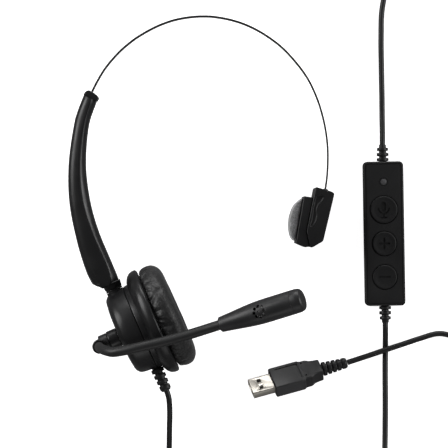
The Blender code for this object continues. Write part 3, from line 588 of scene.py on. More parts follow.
@dataclass(frozen=True)
class MouldedFinish:
    """Injection-moulded plastic or rubber with a fine grain, faint flow marks and edges rubbed paler."""

    name: str
    colour: tuple[float, float, float]
    lighter: tuple[float, float, float]
    roughness: float
    grain_scale: float = 2600.0
    grain_height: float = 0.00003
    specular: float = 0.4
    coat: float = 0.0

    def build(self) -> MATERIAL:
        """Lays out the nodes and returns the material."""
        material, nodes, links = new_material(self.name)
        tint = nodes.new("NodeFrame")
        tint.label = "Colour: flow marks"
        grain = nodes.new("NodeFrame")
        grain.label = "Relief: moulded grain"
        sheen = nodes.new("NodeFrame")
        sheen.label = "Gloss: handling"

        place = nodes.new("ShaderNodeTexCoord")
        place.label = "Place on the part"
        flow = nodes.new("ShaderNodeTexNoise")
        flow.label = "Slow flow marks in the plastic"
        flow.inputs["Scale"].default_value = 45.0
        flow.inputs["Detail"].default_value = 4.0
        flow.inputs["Distortion"].default_value = 0.6
        shades = nodes.new("ShaderNodeValToRGB")
        shades.label = "Darker and lighter batches"
        shades.color_ramp.elements[0].position = 0.3
        shades.color_ramp.elements[0].color = (*self.colour, 1.0)
        shades.color_ramp.elements[1].position = 0.75
        shades.color_ramp.elements[1].color = (*self.lighter, 1.0)
        wear = nodes.new("ShaderNodeNewGeometry")
        wear.label = "Where edges stand proud"
        rub = nodes.new("ShaderNodeMapRange")
        rub.label = "Only the sharpest edges are rubbed"
        rub.inputs["From Min"].default_value = 0.54
        rub.inputs["From Max"].default_value = 0.66
        rub.inputs["To Max"].default_value = 0.35
        worn = nodes.new("ShaderNodeMix")
        worn.label = "Rubbed edges go grey"
        worn.data_type = "RGBA"
        worn.inputs["B"].default_value = (*(min(1.0, c * 2.2 + 0.012) for c in self.lighter), 1.0)

        speckle = nodes.new("ShaderNodeTexVoronoi")
        speckle.label = "Spark-eroded grain cells"
        speckle.inputs["Scale"].default_value = self.grain_scale
        ripple = nodes.new("ShaderNodeTexNoise")
        ripple.label = "Faint sink and ripple"
        ripple.inputs["Scale"].default_value = 210.0
        ripple.inputs["Detail"].default_value = 3.0
        depth = nodes.new("ShaderNodeMath")
        depth.label = "Grain on top of the ripple"
        depth.operation = "MULTIPLY_ADD"
        depth.inputs[1].default_value = 0.55
        relief = nodes.new("ShaderNodeBump")
        relief.label = "Grain height"
        relief.inputs["Strength"].default_value = 0.5
        relief.inputs["Distance"].default_value = self.grain_height

        touch = nodes.new("ShaderNodeTexNoise")
        touch.label = "Skin polish from handling"
        touch.inputs["Scale"].default_value = 90.0
        touch.inputs["Detail"].default_value = 6.0
        polish = nodes.new("ShaderNodeMapRange")
        polish.label = "Duller and glossier patches"
        polish.inputs["From Min"].default_value = 0.3
        polish.inputs["From Max"].default_value = 0.7
        polish.inputs["To Min"].default_value = max(0.05, self.roughness - 0.06)
        polish.inputs["To Max"].default_value = min(1.0, self.roughness + 0.07)

        shader = nodes.new("ShaderNodeBsdfPrincipled")
        shader.label = "Moulded surface"
        shader.inputs["Specular IOR Level"].default_value = self.specular
        shader.inputs["Coat Weight"].default_value = self.coat
        shader.inputs["Coat Roughness"].default_value = 0.12
        output = nodes.new("ShaderNodeOutputMaterial")
        output.label = "Surface"
        for node in (flow, shades, wear, rub, worn):
            node.parent = tint
        for node in (speckle, ripple, depth, relief):
            node.parent = grain
        for node in (touch, polish):
            node.parent = sheen
        for node, spot in zip((place, flow, shades, wear, rub, worn, speckle, ripple, depth, relief, touch,
                               polish, shader, output),
                              ((-1300, 0), (-1050, 420), (-820, 420), (-1050, 160), (-820, 160), (-540, 320),
                               (-1050, -120), (-1050, -380), (-820, -220), (-540, -220), (-1050, -640),
                               (-540, -640), (-200, 0), (120, 0))):
            node.location = spot
        for texture in (flow, speckle, ripple, touch):
            links.new(place.outputs["Object"], texture.inputs["Vector"])
        links.new(flow.outputs["Fac"], shades.inputs["Fac"])
        links.new(wear.outputs["Pointiness"], rub.inputs["Value"])
        links.new(rub.outputs["Result"], worn.inputs["Factor"])
        links.new(shades.outputs["Color"], worn.inputs["A"])
        links.new(worn.outputs["Result"], shader.inputs["Base Color"])
        links.new(speckle.outputs["Distance"], depth.inputs[0])
        links.new(ripple.outputs["Fac"], depth.inputs[2])
        links.new(depth.outputs["Value"], relief.inputs["Height"])
        links.new(relief.outputs["Normal"], shader.inputs["Normal"])
        links.new(touch.outputs["Fac"], polish.inputs["Value"])
        links.new(polish.outputs["Result"], shader.inputs["Roughness"])
        links.new(shader.outputs["BSDF"], output.inputs["Surface"])
        return material


@dataclass(frozen=True)
class LeatheretteFinish:
    """Black coated cloth with a pebbled grain, fine creases, painted shade in its valleys and a soft sheen.
    """

    name: str = "black_leatherette"
    # valley_shade is painted shade for the sunk valleys and creases of the grain; crown is the cloth's own
    # colour on the crowns.
    valley_shade: tuple[float, float, float] = (0.004, 0.004, 0.0043)
    crown: tuple[float, float, float] = (0.011, 0.011, 0.0113)
    pebble_scale: float = 1300.0

    def build(self) -> MATERIAL:
        """Lays out the nodes and returns the material."""
        material, nodes, links = new_material(self.name)
        grain = nodes.new("NodeFrame")
        grain.label = "Relief: pebbles and creases"
        # Colour frame: painted shade darkens the valleys and creases, and the crowns keep the cloth's colour.
        tint = nodes.new("NodeFrame")
        tint.label = "Colour: dark valleys, paler crowns"
        sheen = nodes.new("NodeFrame")
        sheen.label = "Gloss: skin oils"

        place = nodes.new("ShaderNodeTexCoord")
        place.label = "Place on the cushion"
        warp = nodes.new("ShaderNodeTexNoise")
        warp.label = "Uneven pull of the skin"
        warp.inputs["Scale"].default_value = 260.0
        warp.inputs["Detail"].default_value = 2.0
        drift = nodes.new("ShaderNodeVectorMath")
        drift.label = "Pulls the pebbles out of line"
        drift.operation = "MULTIPLY_ADD"
        drift.inputs[1].default_value = (0.0006, 0.0006, 0.0006)
        pebbles = nodes.new("ShaderNodeTexVoronoi")
        pebbles.label = "Pebbled grain"
        pebbles.feature = "SMOOTH_F1"
        pebbles.inputs["Scale"].default_value = self.pebble_scale
        creases = nodes.new("ShaderNodeTexVoronoi")
        creases.label = "Fine creases between pebbles"
        creases.feature = "DISTANCE_TO_EDGE"
        creases.inputs["Scale"].default_value = self.pebble_scale / 3.2
        fold = nodes.new("ShaderNodeMapRange")
        fold.label = "Crease width"
        fold.inputs["From Max"].default_value = 0.12
        height = nodes.new("ShaderNodeMath")
        height.label = "Pebbles sink at the creases"
        height.operation = "SUBTRACT"
        relief = nodes.new("ShaderNodeBump")
        relief.label = "Grain height"
        relief.inputs["Strength"].default_value = 0.6
        relief.inputs["Distance"].default_value = 0.00012
        # Painted shade: the grain's height darkens the colour towards the valleys and creases.
        shades = nodes.new("ShaderNodeValToRGB")
        shades.label = "Valley and crown colours"
        shades.color_ramp.elements[0].color = (*self.valley_shade, 1.0)
        shades.color_ramp.elements[0].position = 0.15
        shades.color_ramp.elements[1].color = (*self.crown, 1.0)
        shades.color_ramp.elements[1].position = 0.8
        oils = nodes.new("ShaderNodeTexNoise")
        oils.label = "Patches polished by the ear"
        oils.inputs["Scale"].default_value = 70.0
        oils.inputs["Detail"].default_value = 5.0
        polish = nodes.new("ShaderNodeMapRange")
        polish.label = "Glossy and dull patches"
        polish.inputs["To Min"].default_value = 0.34
        polish.inputs["To Max"].default_value = 0.56
        shader = nodes.new("ShaderNodeBsdfPrincipled")
        shader.label = "Coated cloth"
        shader.inputs["Specular IOR Level"].default_value = 0.5
        shader.inputs["Sheen Weight"].default_value = 0.06
        shader.inputs["Sheen Roughness"].default_value = 0.45
        output = nodes.new("ShaderNodeOutputMaterial")
        output.label = "Surface"
        for node in (warp, drift, pebbles, creases, fold, height, relief):
            node.parent = grain
        for node in (shades,):
            node.parent = tint
        for node in (oils, polish):
            node.parent = sheen
        for node, spot in zip((place, warp, drift, pebbles, creases, fold, height, relief, shades, oils,
                               polish, shader, output),
                              ((-1700, 0), (-1500, -300), (-1280, -200), (-1050, -100), (-1050, -400),
                               (-820, -400), (-620, -250), (-400, -250), (-400, 250), (-1050, 500),
                               (-820, 500),
                               (-100, 0), (200, 0))):
            node.location = spot
        links.new(place.outputs["Object"], warp.inputs["Vector"])
        links.new(warp.outputs["Color"], drift.inputs[0])
        links.new(place.outputs["Object"], drift.inputs[2])
        links.new(drift.outputs["Vector"], pebbles.inputs["Vector"])
        links.new(drift.outputs["Vector"], creases.inputs["Vector"])
        links.new(creases.outputs["Distance"], fold.inputs["Value"])
        links.new(fold.outputs["Result"], height.inputs[0])
        links.new(pebbles.outputs["Distance"], height.inputs[1])
        links.new(height.outputs["Value"], relief.inputs["Height"])
        # The grain's height also paints shade into the valleys and creases.
        links.new(height.outputs["Value"], shades.inputs["Fac"])
        links.new(shades.outputs["Color"], shader.inputs["Base Color"])
        links.new(place.outputs["Object"], oils.inputs["Vector"])
        links.new(oils.outputs["Fac"], polish.inputs["Value"])
        links.new(polish.outputs["Result"], shader.inputs["Roughness"])
        links.new(relief.outputs["Normal"], shader.inputs["Normal"])
        links.new(shader.outputs["BSDF"], output.inputs["Surface"])
        return material


@dataclass(frozen=True)
class FoamFinish:
    """Open-cell foam: round pores of two sizes, darkened inside by painted shade, with a dry, felt-like edge.
    """

    name: str = "grey_open_cell_foam"
    wall: tuple[float, float, float] = (0.21, 0.21, 0.213)
    # pore_shade is painted shade for the inside of the pores; wall is the foam's own colour.
    pore_shade: tuple[float, float, float] = (0.085, 0.085, 0.087)
    cell_scale: float = 1500.0

    def build(self) -> MATERIAL:
        """Lays out the nodes and returns the material."""
        material, nodes, links = new_material(self.name)
        cells = nodes.new("NodeFrame")
        cells.label = "Relief: pores"
        # Colour frame: painted shade in the pores, and uneven dye over the pad.
        tint = nodes.new("NodeFrame")
        tint.label = "Colour: pores and dust"
        place = nodes.new("ShaderNodeTexCoord")
        place.label = "Place in the foam"
        coarse = nodes.new("ShaderNodeTexVoronoi")
        coarse.label = "Open pores"
        coarse.inputs["Scale"].default_value = self.cell_scale
        fine = nodes.new("ShaderNodeTexVoronoi")
        fine.label = "Small cells in the walls"
        fine.inputs["Scale"].default_value = self.cell_scale * 2.3
        both = nodes.new("ShaderNodeMath")
        both.label = "Small cells within large"
        both.operation = "MULTIPLY_ADD"
        both.inputs[1].default_value = 0.4
        relief = nodes.new("ShaderNodeBump")
        relief.label = "Pore depth"
        relief.inputs["Strength"].default_value = 0.9
        relief.inputs["Distance"].default_value = 0.0003
        # Painted shade: the pore depth darkens the colour inside the pores, and the walls stay pale.
        shades = nodes.new("ShaderNodeValToRGB")
        shades.label = "Dark pores, pale walls"
        shades.color_ramp.elements[0].position = 0.25
        shades.color_ramp.elements[0].color = (*self.pore_shade, 1.0)
        shades.color_ramp.elements[1].position = 0.95
        shades.color_ramp.elements[1].color = (*self.wall, 1.0)
        dust = nodes.new("ShaderNodeTexNoise")
        dust.label = "Uneven dye"
        dust.inputs["Scale"].default_value = 160.0
        dust.inputs["Detail"].default_value = 4.0
        faded = nodes.new("ShaderNodeMix")
        faded.label = "Dye varies over the pad"
        faded.data_type = "RGBA"
        faded.blend_type = "OVERLAY"
        faded.inputs["Factor"].default_value = 0.35
        shader = nodes.new("ShaderNodeBsdfPrincipled")
        shader.label = "Dry foam"
        shader.inputs["Roughness"].default_value = 0.95
        shader.inputs["Specular IOR Level"].default_value = 0.2
        shader.inputs["Sheen Weight"].default_value = 0.35
        shader.inputs["Sheen Roughness"].default_value = 0.6
        output = nodes.new("ShaderNodeOutputMaterial")
        output.label = "Surface"
        for node in (coarse, fine, both, relief):
            node.parent = cells
        for node in (shades, dust, faded):
            node.parent = tint
        for node, spot in zip((place, coarse, fine, both, relief, shades, dust, faded, shader, output),
                              ((-1300, 0), (-1050, -100), (-1050, -380), (-820, -200), (-400, -250),
                               (-620, 220), (-820, 480), (-380, 300), (-80, 0), (220, 0))):
            node.location = spot
        for texture in (coarse, fine, dust):
            links.new(place.outputs["Object"], texture.inputs["Vector"])
        links.new(fine.outputs["Distance"], both.inputs[0])
        links.new(coarse.outputs["Distance"], both.inputs[2])
        links.new(both.outputs["Value"], relief.inputs["Height"])
        # The pore depth also paints shade into the pores.
        links.new(both.outputs["Value"], shades.inputs["Fac"])
        links.new(shades.outputs["Color"], faded.inputs["A"])
        links.new(dust.outputs["Fac"], faded.inputs["B"])
        links.new(faded.outputs["Result"], shader.inputs["Base Color"])
        links.new(relief.outputs["Normal"], shader.inputs["Normal"])
        links.new(shader.outputs["BSDF"], output.inputs["Surface"])
        return material


@dataclass(frozen=True)
class MetalFinish:
    """Plated or painted sheet metal with fine drawing lines and dulled patches."""

    name: str
    colour: tuple[float, float, float]
    dull: tuple[float, float, float]
    roughness: float
    metallic: float = 1.0
    line_stretch: tuple[float, float, float] = (900.0, 12000.0, 12000.0)

    def build(self) -> MATERIAL:
        """Lays out the nodes and returns the material."""
        material, nodes, links = new_material(self.name)
        lines = nodes.new("NodeFrame")
        lines.label = "Relief: drawing lines"
        tint = nodes.new("NodeFrame")
        tint.label = "Colour: tarnish"
        place = nodes.new("ShaderNodeTexCoord")
        place.label = "Place on the metal"
        stretch = nodes.new("ShaderNodeMapping")
        stretch.label = "Draws the noise out into lines"
        stretch.inputs["Scale"].default_value = self.line_stretch
        streaks = nodes.new("ShaderNodeTexNoise")
        streaks.label = "Drawing lines"
        streaks.inputs["Scale"].default_value = 1.0
        streaks.inputs["Detail"].default_value = 3.0
        relief = nodes.new("ShaderNodeBump")
        relief.label = "Line depth"
        relief.inputs["Strength"].default_value = 0.25
        relief.inputs["Distance"].default_value = 0.00002
        stain = nodes.new("ShaderNodeTexNoise")
        stain.label = "Dulled patches"
        stain.inputs["Scale"].default_value = 240.0
        stain.inputs["Detail"].default_value = 5.0
        shades = nodes.new("ShaderNodeValToRGB")
        shades.label = "Bright and dulled metal"
        shades.color_ramp.elements[0].position = 0.35
        shades.color_ramp.elements[0].color = (*self.colour, 1.0)
        shades.color_ramp.elements[1].position = 0.8
        shades.color_ramp.elements[1].color = (*self.dull, 1.0)
        polish = nodes.new("ShaderNodeMapRange")
        polish.label = "Lines catch the light unevenly"
        polish.inputs["To Min"].default_value = max(0.05, self.roughness - 0.08)
        polish.inputs["To Max"].default_value = self.roughness + 0.12
        shader = nodes.new("ShaderNodeBsdfPrincipled")
        shader.label = "Metal"
        shader.inputs["Metallic"].default_value = self.metallic
        output = nodes.new("ShaderNodeOutputMaterial")
        output.label = "Surface"
        for node in (stretch, streaks, relief, polish):
            node.parent = lines
        for node in (stain, shades):
            node.parent = tint
        for node, spot in zip((place, stretch, streaks, relief, stain, shades, polish, shader, output),
                              ((-1300, 0), (-1080, -150), (-860, -150), (-420, -300), (-860, 260),
                               (-640, 260), (-640, -60), (-120, 0), (180, 0))):
            node.location = spot
        links.new(place.outputs["Object"], stretch.inputs["Vector"])
        links.new(stretch.outputs["Vector"], streaks.inputs["Vector"])
        links.new(place.outputs["Object"], stain.inputs["Vector"])
        links.new(streaks.outputs["Fac"], relief.inputs["Height"])
        links.new(streaks.outputs["Fac"], polish.inputs["Value"])
        links.new(stain.outputs["Fac"], shades.inputs["Fac"])
        links.new(shades.outputs["Color"], shader.inputs["Base Color"])
        links.new(polish.outputs["Result"], shader.inputs["Roughness"])
        links.new(relief.outputs["Normal"], shader.inputs["Normal"])
        links.new(shader.outputs["BSDF"], output.inputs["Surface"])
        return material


@dataclass(frozen=True)
class WovenFinish:
    """Acoustic cloth: a plain weave of two crossing sets of threads, with painted shade in the gaps between
    them.
    """

    name: str = "acoustic_cloth"
    thread: tuple[float, float, float] = (0.02, 0.02, 0.021)
    # gap_shade is painted shade for the gaps between the threads; thread is the threads' own colour.
    gap_shade: tuple[float, float, float] = (0.003, 0.003, 0.003)
    pitch: float = 0.0007

    def build(self) -> MATERIAL:
        """Lays out the nodes and returns the material."""
        material, nodes, links = new_material(self.name)
        # The weave's colour is painted shade in the gaps between the threads.
        weave = nodes.new("NodeFrame")
        weave.label = "Relief and colour: plain weave"
        place = nodes.new("ShaderNodeTexCoord")
        place.label = "Place on the cloth"
        aim = nodes.new("ShaderNodeMapping")
        aim.label = "Lines the weave up with the cup"
        aim.inputs["Rotation"].default_value = (0.0, 0.0, -CUP_LEAN)
        warp = nodes.new("ShaderNodeTexWave")
        warp.label = "Threads up the cup"
        warp.bands_direction = "Y"
        warp.inputs["Scale"].default_value = 0.31 / self.pitch
        weft = nodes.new("ShaderNodeTexWave")
        weft.label = "Threads across the cup"
        weft.bands_direction = "Z"
        weft.inputs["Scale"].default_value = 0.31 / self.pitch
        cross = nodes.new("ShaderNodeMath")
        cross.label = "Threads cross"
        cross.operation = "MULTIPLY"
        # Painted shade: where the threads sink, the colour goes dark in the gaps between them.
        shades = nodes.new("ShaderNodeValToRGB")
        shades.label = "Threads and the gaps between"
        shades.color_ramp.elements[0].color = (*self.gap_shade, 1.0)
        shades.color_ramp.elements[1].color = (*self.thread, 1.0)
        relief = nodes.new("ShaderNodeBump")
        relief.label = "Thread height"
        relief.inputs["Strength"].default_value = 0.8
        relief.inputs["Distance"].default_value = 0.0002
        shader = nodes.new("ShaderNodeBsdfPrincipled")
        shader.label = "Cloth"
        shader.inputs["Roughness"].default_value = 0.92
        shader.inputs["Sheen Weight"].default_value = 0.2
        output = nodes.new("ShaderNodeOutputMaterial")
        output.label = "Surface"
        for node in (aim, warp, weft, cross, shades, relief):
            node.parent = weave
        for node, spot in zip((place, aim, warp, weft, cross, shades, relief, shader, output),
                              ((-1300, 0), (-1080, 0), (-860, 160), (-860, -160), (-640, 0), (-420, 160),
                               (-420, -160), (-120, 0), (180, 0))):
            node.location = spot
        links.new(place.outputs["Object"], aim.inputs["Vector"])
        links.new(aim.outputs["Vector"], warp.inputs["Vector"])
        links.new(aim.outputs["Vector"], weft.inputs["Vector"])
        links.new(warp.outputs["Fac"], cross.inputs[0])
        links.new(weft.outputs["Fac"], cross.inputs[1])
        # The thread height also paints shade into the gaps.
        links.new(cross.outputs["Value"], shades.inputs["Fac"])
        links.new(cross.outputs["Value"], relief.inputs["Height"])
        links.new(shades.outputs["Color"], shader.inputs["Base Color"])
        links.new(relief.outputs["Normal"], shader.inputs["Normal"])
        links.new(shader.outputs["BSDF"], output.inputs["Surface"])
        return material


FINISHES = {
    Slot.SATIN_BLACK: MouldedFinish(
        "satin_black_abs", (0.0065, 0.0065, 0.007), (0.010, 0.010, 0.0105), 0.33, 2300.0, 0.00003),
    Slot.DARK_GREY: MouldedFinish(
        "dark_grey_textured", (0.013, 0.013, 0.0135), (0.020, 0.020, 0.021), 0.38, 1900.0, 0.00006),
    Slot.REMOTE_BLACK: MouldedFinish(
        "remote_matte_black", (0.006, 0.006, 0.0063), (0.009, 0.009, 0.0095), 0.5, 2100.0, 0.00005,
        0.32),
    Slot.BUTTON: MouldedFinish(
        "matte_button_rubber", (0.0055, 0.0055, 0.006), (0.0085, 0.0085, 0.009), 0.55, 2600.0, 0.00004,
        0.3),
    Slot.LEATHERETTE: LeatheretteFinish(),
    Slot.FOAM: FoamFinish(),
    Slot.CORD: MouldedFinish(
        "cable_jacket", (0.006, 0.006, 0.0065), (0.009, 0.009, 0.0095), 0.42, 3000.0, 0.00002),
    Slot.BOOM: MouldedFinish(
        "smooth_boom_rubber", (0.010, 0.010, 0.0105), (0.014, 0.014, 0.0145), 0.44, 3000.0, 0.00002),
    Slot.BAND_STEEL: MetalFinish(
        "black_coated_spring_steel", (0.012, 0.012, 0.0125), (0.02, 0.02, 0.021), 0.3, 0.35),
    Slot.BARE_STEEL: MetalFinish(
        "plain_steel", (0.52, 0.52, 0.52), (0.36, 0.36, 0.36), 0.3),
    Slot.NICKEL: MetalFinish(
        "nickel_plate", (0.56, 0.53, 0.48), (0.50, 0.475, 0.43), 0.33),
    Slot.WHITE: MouldedFinish(
        "white_contact_carrier", (0.74, 0.74, 0.72), (0.84, 0.84, 0.82), 0.4, 2600.0, 0.00003),
    Slot.BOARD: MouldedFinish(
        "solder_mask", (0.008, 0.05, 0.018), (0.014, 0.075, 0.03), 0.35, 1500.0, 0.00005),
    Slot.CLOTH: WovenFinish(),
    Slot.FILM: MouldedFinish(
        "speaker_film", (0.2, 0.19, 0.16), (0.3, 0.28, 0.24), 0.25, 1500.0, 0.00002),
    Slot.LENS: MouldedFinish(
        "smoked_lens", (0.055, 0.055, 0.058), (0.08, 0.08, 0.084), 0.55, 2600.0, 0.00001),
}


class Finishes:
    """Every material of the headset, one for each slot."""

    def __init__(self) -> None:
        """Builds them all."""
        self.by_slot: dict[Slot, MATERIAL] = {slot: made.build() for slot, made in FINISHES.items()}

    def __getitem__(self, slot: Slot) -> MATERIAL:
        """The material of a slot."""
        return self.by_slot[slot]


# ---------------------------------------------------------------- cords


@dataclass(frozen=True)
class Coil:
    """The spare cord, wound flat on the table in rings a diameter apart, two layers high."""

    centre: SPOT
    start_angle: float
    crossing: float
    rings: tuple[float, ...] = (22.15, 19.05, 15.95, 14.4, 17.5, 20.6)
    top_rings: int = 3
    first_turn: float = -0.07
    tie_turn: float = 0.9
    tie_lift: float = 0.75

    def turn_to_ring(self, turn: float) -> float:
        """The radius after a number of turns; the cord changes rings over a quarter of each turn."""
        passed = math.floor(turn - self.crossing)
        step = smoothstep((turn - self.crossing - passed) / 0.25)
        before = self.rings[min(max(passed, 0), len(self.rings) - 1)]
        after = self.rings[min(max(passed + 1, 0), len(self.rings) - 1)]
        return before + (after - before) * step

    def height(self, turn: float, last_turn: float) -> float:
        """How high the cord's middle lies: on the table, or resting on the turns that lie under it."""
        near = abs((turn - self.tie_turn + 0.5) % 1.0 - 0.5)
        lift = self.tie_lift * math.exp(-(near / 0.05) ** 2)
        height = CORD_RADIUS
        if turn < self.top_rings + self.crossing:
            below = turn + 1.0
            while below <= last_turn + 0.02:
                if below >= self.top_rings - 1 + self.crossing + 0.25:
                    apart = abs(self.turn_to_ring(below) - self.turn_to_ring(turn))
                    over = math.sqrt(max(0.0, (2.0 * CORD_RADIUS) ** 2 - apart ** 2))
                    height = max(height, CORD_RADIUS + over)
                below += 1.0
        return height + lift

    def route(self) -> list[Vector]:
        """The coil's points, wound counter-clockwise seen from above."""
        last_turn = len(self.rings) - 1 + self.crossing
        count = int((last_turn - self.first_turn) * 30)
        points = []
        for i in range(count + 1):
            turn = self.first_turn + (last_turn - self.first_turn) * i / count
            angle = self.start_angle + turn * math.tau
            radius = self.turn_to_ring(turn)
            points.append(Vector((self.centre[0] + radius * math.cos(angle),
                                  self.centre[1] + radius * math.sin(angle), self.height(turn, last_turn))))
        return points

    def tie(self, name: str) -> PIECE:
        """A strap round the whole bundle, in place on the table."""
        outline = [(14.4, 0.4), (20.6, 0.4), (22.3, 1.2), (22.5, 2.5), (21.9, 4.3), (20.8, 6.0), (19.0, 6.95),
                   (16.0, 6.95), (14.2, 6.0), (13.1, 4.3), (12.5, 2.5), (12.7, 1.2)]
        angle = self.start_angle + self.tie_turn * math.tau
        radial = (math.cos(angle), math.sin(angle), 0.0)
        place = Frame.at(self.centre, radial, (-radial[1], radial[0], 0.0), TABLE)
        loop = rounded([(r, -z) for r, z in outline], 0.8, 3)
        strap = draw_line(name, [(x, y, -3.0) for x, y in loop], True)
        bpy.ops.mesh.extrude_region_move(TRANSFORM_OT_translate={"value": (0, 0, 6.0 * MM)})
        finish_faces()
        wall = strap.modifiers.new("strap thickness", "SOLIDIFY")
        wall.thickness = 0.6 * MM
        wall.offset = 0.0
        apply_modifiers(strap)
        bevel(strap, 0.18, 2)
        return move(strap, place)


CUP_COIL = Coil((0.0, -196.5, 0.0), math.pi, 0.25)
USB_COIL = Coil((122.1, -196.5, 0.0), math.pi, 0.5)
CUP_CORD_FALL = (
    (-20.24, -136.02, 30.0), (-20.10, -136.37, 30.0),
    (-19.95, -136.75, 30.0), (-19.2, -138.9, 29.9), (-18.6, -142.5, 29.2), (-18.4, -149.0, 26.4),
    (-18.6, -157.0, 21.2), (-18.8, -165.0, 15.2), (-19.0, -172.0, 10.1), (-19.2, -178.5, 6.9),
)
CUP_CORD_RUN = (
    (12.6, -219.2, 1.55), (26.0, -221.8, 1.55), (45.0, -223.0, 1.55), (66.0, -222.6, 1.55),
    (88.0, -223.2, 1.55), (110.0, -223.6, 1.55), (128.0, -222.8, 1.55), (141.0, -218.8, 1.55),
    (150.0, -209.5, 1.55), (153.6, -196.0, 1.55), (153.8, -175.0, 1.55), (152.6, -150.0, 1.55),
    (153.4, -120.0, 1.55), (152.6, -88.0, 1.55), (151.6, -55.0, 1.55), (152.4, -20.0, 1.55),
    (151.7, 15.0, 1.55), (152.3, 48.0, 1.55), (152.4, 72.0, 1.55), (149.6, 88.0, 1.55),
    (140.5, 98.3, 1.55), (127.0, 101.6, 1.55), (113.2, 98.8, 1.55), (103.6, 89.6, 1.55),
    (99.8, 76.0, 1.55), (99.1, 60.0, 1.55), (99.3, 42.0, 1.55), (99.6, 26.0, 1.55), (99.7, 15.0, 1.75),
    (99.7, 8.5, 3.6), (99.7, 3.6, 5.1), (99.67, -0.1, 5.35), (99.67, -1.2, 5.35),
)
USB_CORD_DROP = (
    (101.30, -98.9, 5.35),
    (101.31, -99.9, 5.35), (101.38, -103.2, 5.0), (101.45, -107.4, 3.5), (101.5, -111.4, 2.0),
    (101.5, -116.0, 1.55), (101.4, -128.0, 1.55), (101.5, -144.0, 1.55), (101.4, -160.0, 1.55),
    (101.2, -171.0, 2.2), (101.0, -180.0, 3.6),
)
USB_CORD_RUN = (
    (143.4, -183.8, 1.55), (144.4, -170.0, 1.55), (145.6, -152.0, 1.55), (147.1, -134.0, 1.55),
    (147.6, -124.0, 1.55), (145.6, -114.6, 1.6), (139.6, -107.9, 1.9), (131.0, -105.8, 2.5),
    (121.0, -108.4, 3.7), (111.5, -111.5, 4.9), (101.7, -114.7, 5.3), (93.5, -117.5, 4.5),
    (87.0, -119.7, 3.6), (80.95, -121.65, 3.62), (80.3, -121.85, 3.68),
)


@dataclass
class Cord:
    """One free cable: straight out of its exit, down to the table, round its coil and on to its far end."""

    name: str
    before_coil: Sequence[SPOT]
    coil: Coil
    after_coil: Sequence[SPOT]
    far_end: str
    replaces: tuple[str, ...]
    step: float = 1.8

    def build(self, finishes: Finishes, with_pieces: Sequence[PIECE]) -> PIECE:
        """Args:
            finishes: the headset's materials.
            with_pieces: the pieces on the cord, such as its plug; not used.

        Returns:
            The cord.
        """
        knots = [Vector(p) for p in (*self.before_coil, *self.coil.route(), *self.after_coil)]
        steps = int(path_length(knots) / self.step)
        points = [TABLE.point(p) for p in even_points(knots, steps)]
        cable = round_tube(self.name, points, CORD_RADIUS, 4)
        seat(cable, None, Body.CUP, finishes[Slot.CORD], Slot.CORD, self.replaces)
        tie = self.coil.tie(f"{self.name}_tie")
        seat(tie, None, Body.CUP, finishes[Slot.BUTTON], Slot.BUTTON)
        return cable


# ---------------------------------------------------------------- padded pieces


def inflate(piece: PIECE, held: Callable[[Vector], float], pressure: float, cap: float,
            frames: int = 20, slack: float = 0.0) -> PIECE:
    """Swells a pad as cloth under pressure, held at its edges, and applies the result.

    Args:
        piece: the pad, in its local frame.
        held: how firmly a point is held, from 0 to 1, by its place in millimetres.
        pressure: the pressure inside.
        cap: the furthest that a point may move, in millimetres.
        frames: how many steps the cloth takes.
        slack: how much larger the skin is than its shape, as a share.

    Returns:
        The pad.
    """
    grown = 10.0
    take(piece)
    before = [vertex.co.copy() for vertex in piece.data.vertices]
    pins = piece.vertex_groups.new(name="held")
    for vertex in piece.data.vertices:
        pins.add([vertex.index], held(vertex.co / MM), "REPLACE")
    piece.scale = (grown,) * 3
    bpy.ops.object.transform_apply(location=False, rotation=False, scale=True)
    cloth = piece.modifiers.new("swelling", "CLOTH")
    settings = cloth.settings
    settings.quality = 8
    settings.mass = 0.3
    settings.tension_stiffness = 20.0
    settings.compression_stiffness = 20.0
    settings.shear_stiffness = 8.0
    settings.bending_stiffness = 0.6
    settings.use_pressure = True
    settings.uniform_pressure_force = pressure
    settings.vertex_group_mass = "held"
    settings.shrink_min = -slack
    settings.effector_weights.gravity = 0.0
    for frame in range(1, frames + 1):
        bpy.context.scene.frame_set(frame)
    apply_modifiers(piece)
    bpy.context.scene.frame_set(1)
    piece.scale = (1.0 / grown,) * 3
    bpy.ops.object.transform_apply(location=False, rotation=False, scale=True)
    for vertex, start in zip(piece.data.vertices, before):
        step = vertex.co - start
        if step.length > cap * MM:
            vertex.co = start + step.normalized() * cap * MM
    piece.vertex_groups.clear()
    return piece


def refine(piece: PIECE, levels: int = 1) -> PIECE:
    """Applies a subdivision surface to a pad."""
    surface = piece.modifiers.new("smooth skin", "SUBSURF")
    surface.levels = levels
    surface.render_levels = levels
    apply_modifiers(piece)
    return piece


# ---------------------------------------------------------------- ear cup


@dataclass(frozen=True)
class Pucker:
    """A gather in the cushion's skin where it is drawn into the ring."""

    angle: float
    depth: float
    width: float
    reach: float


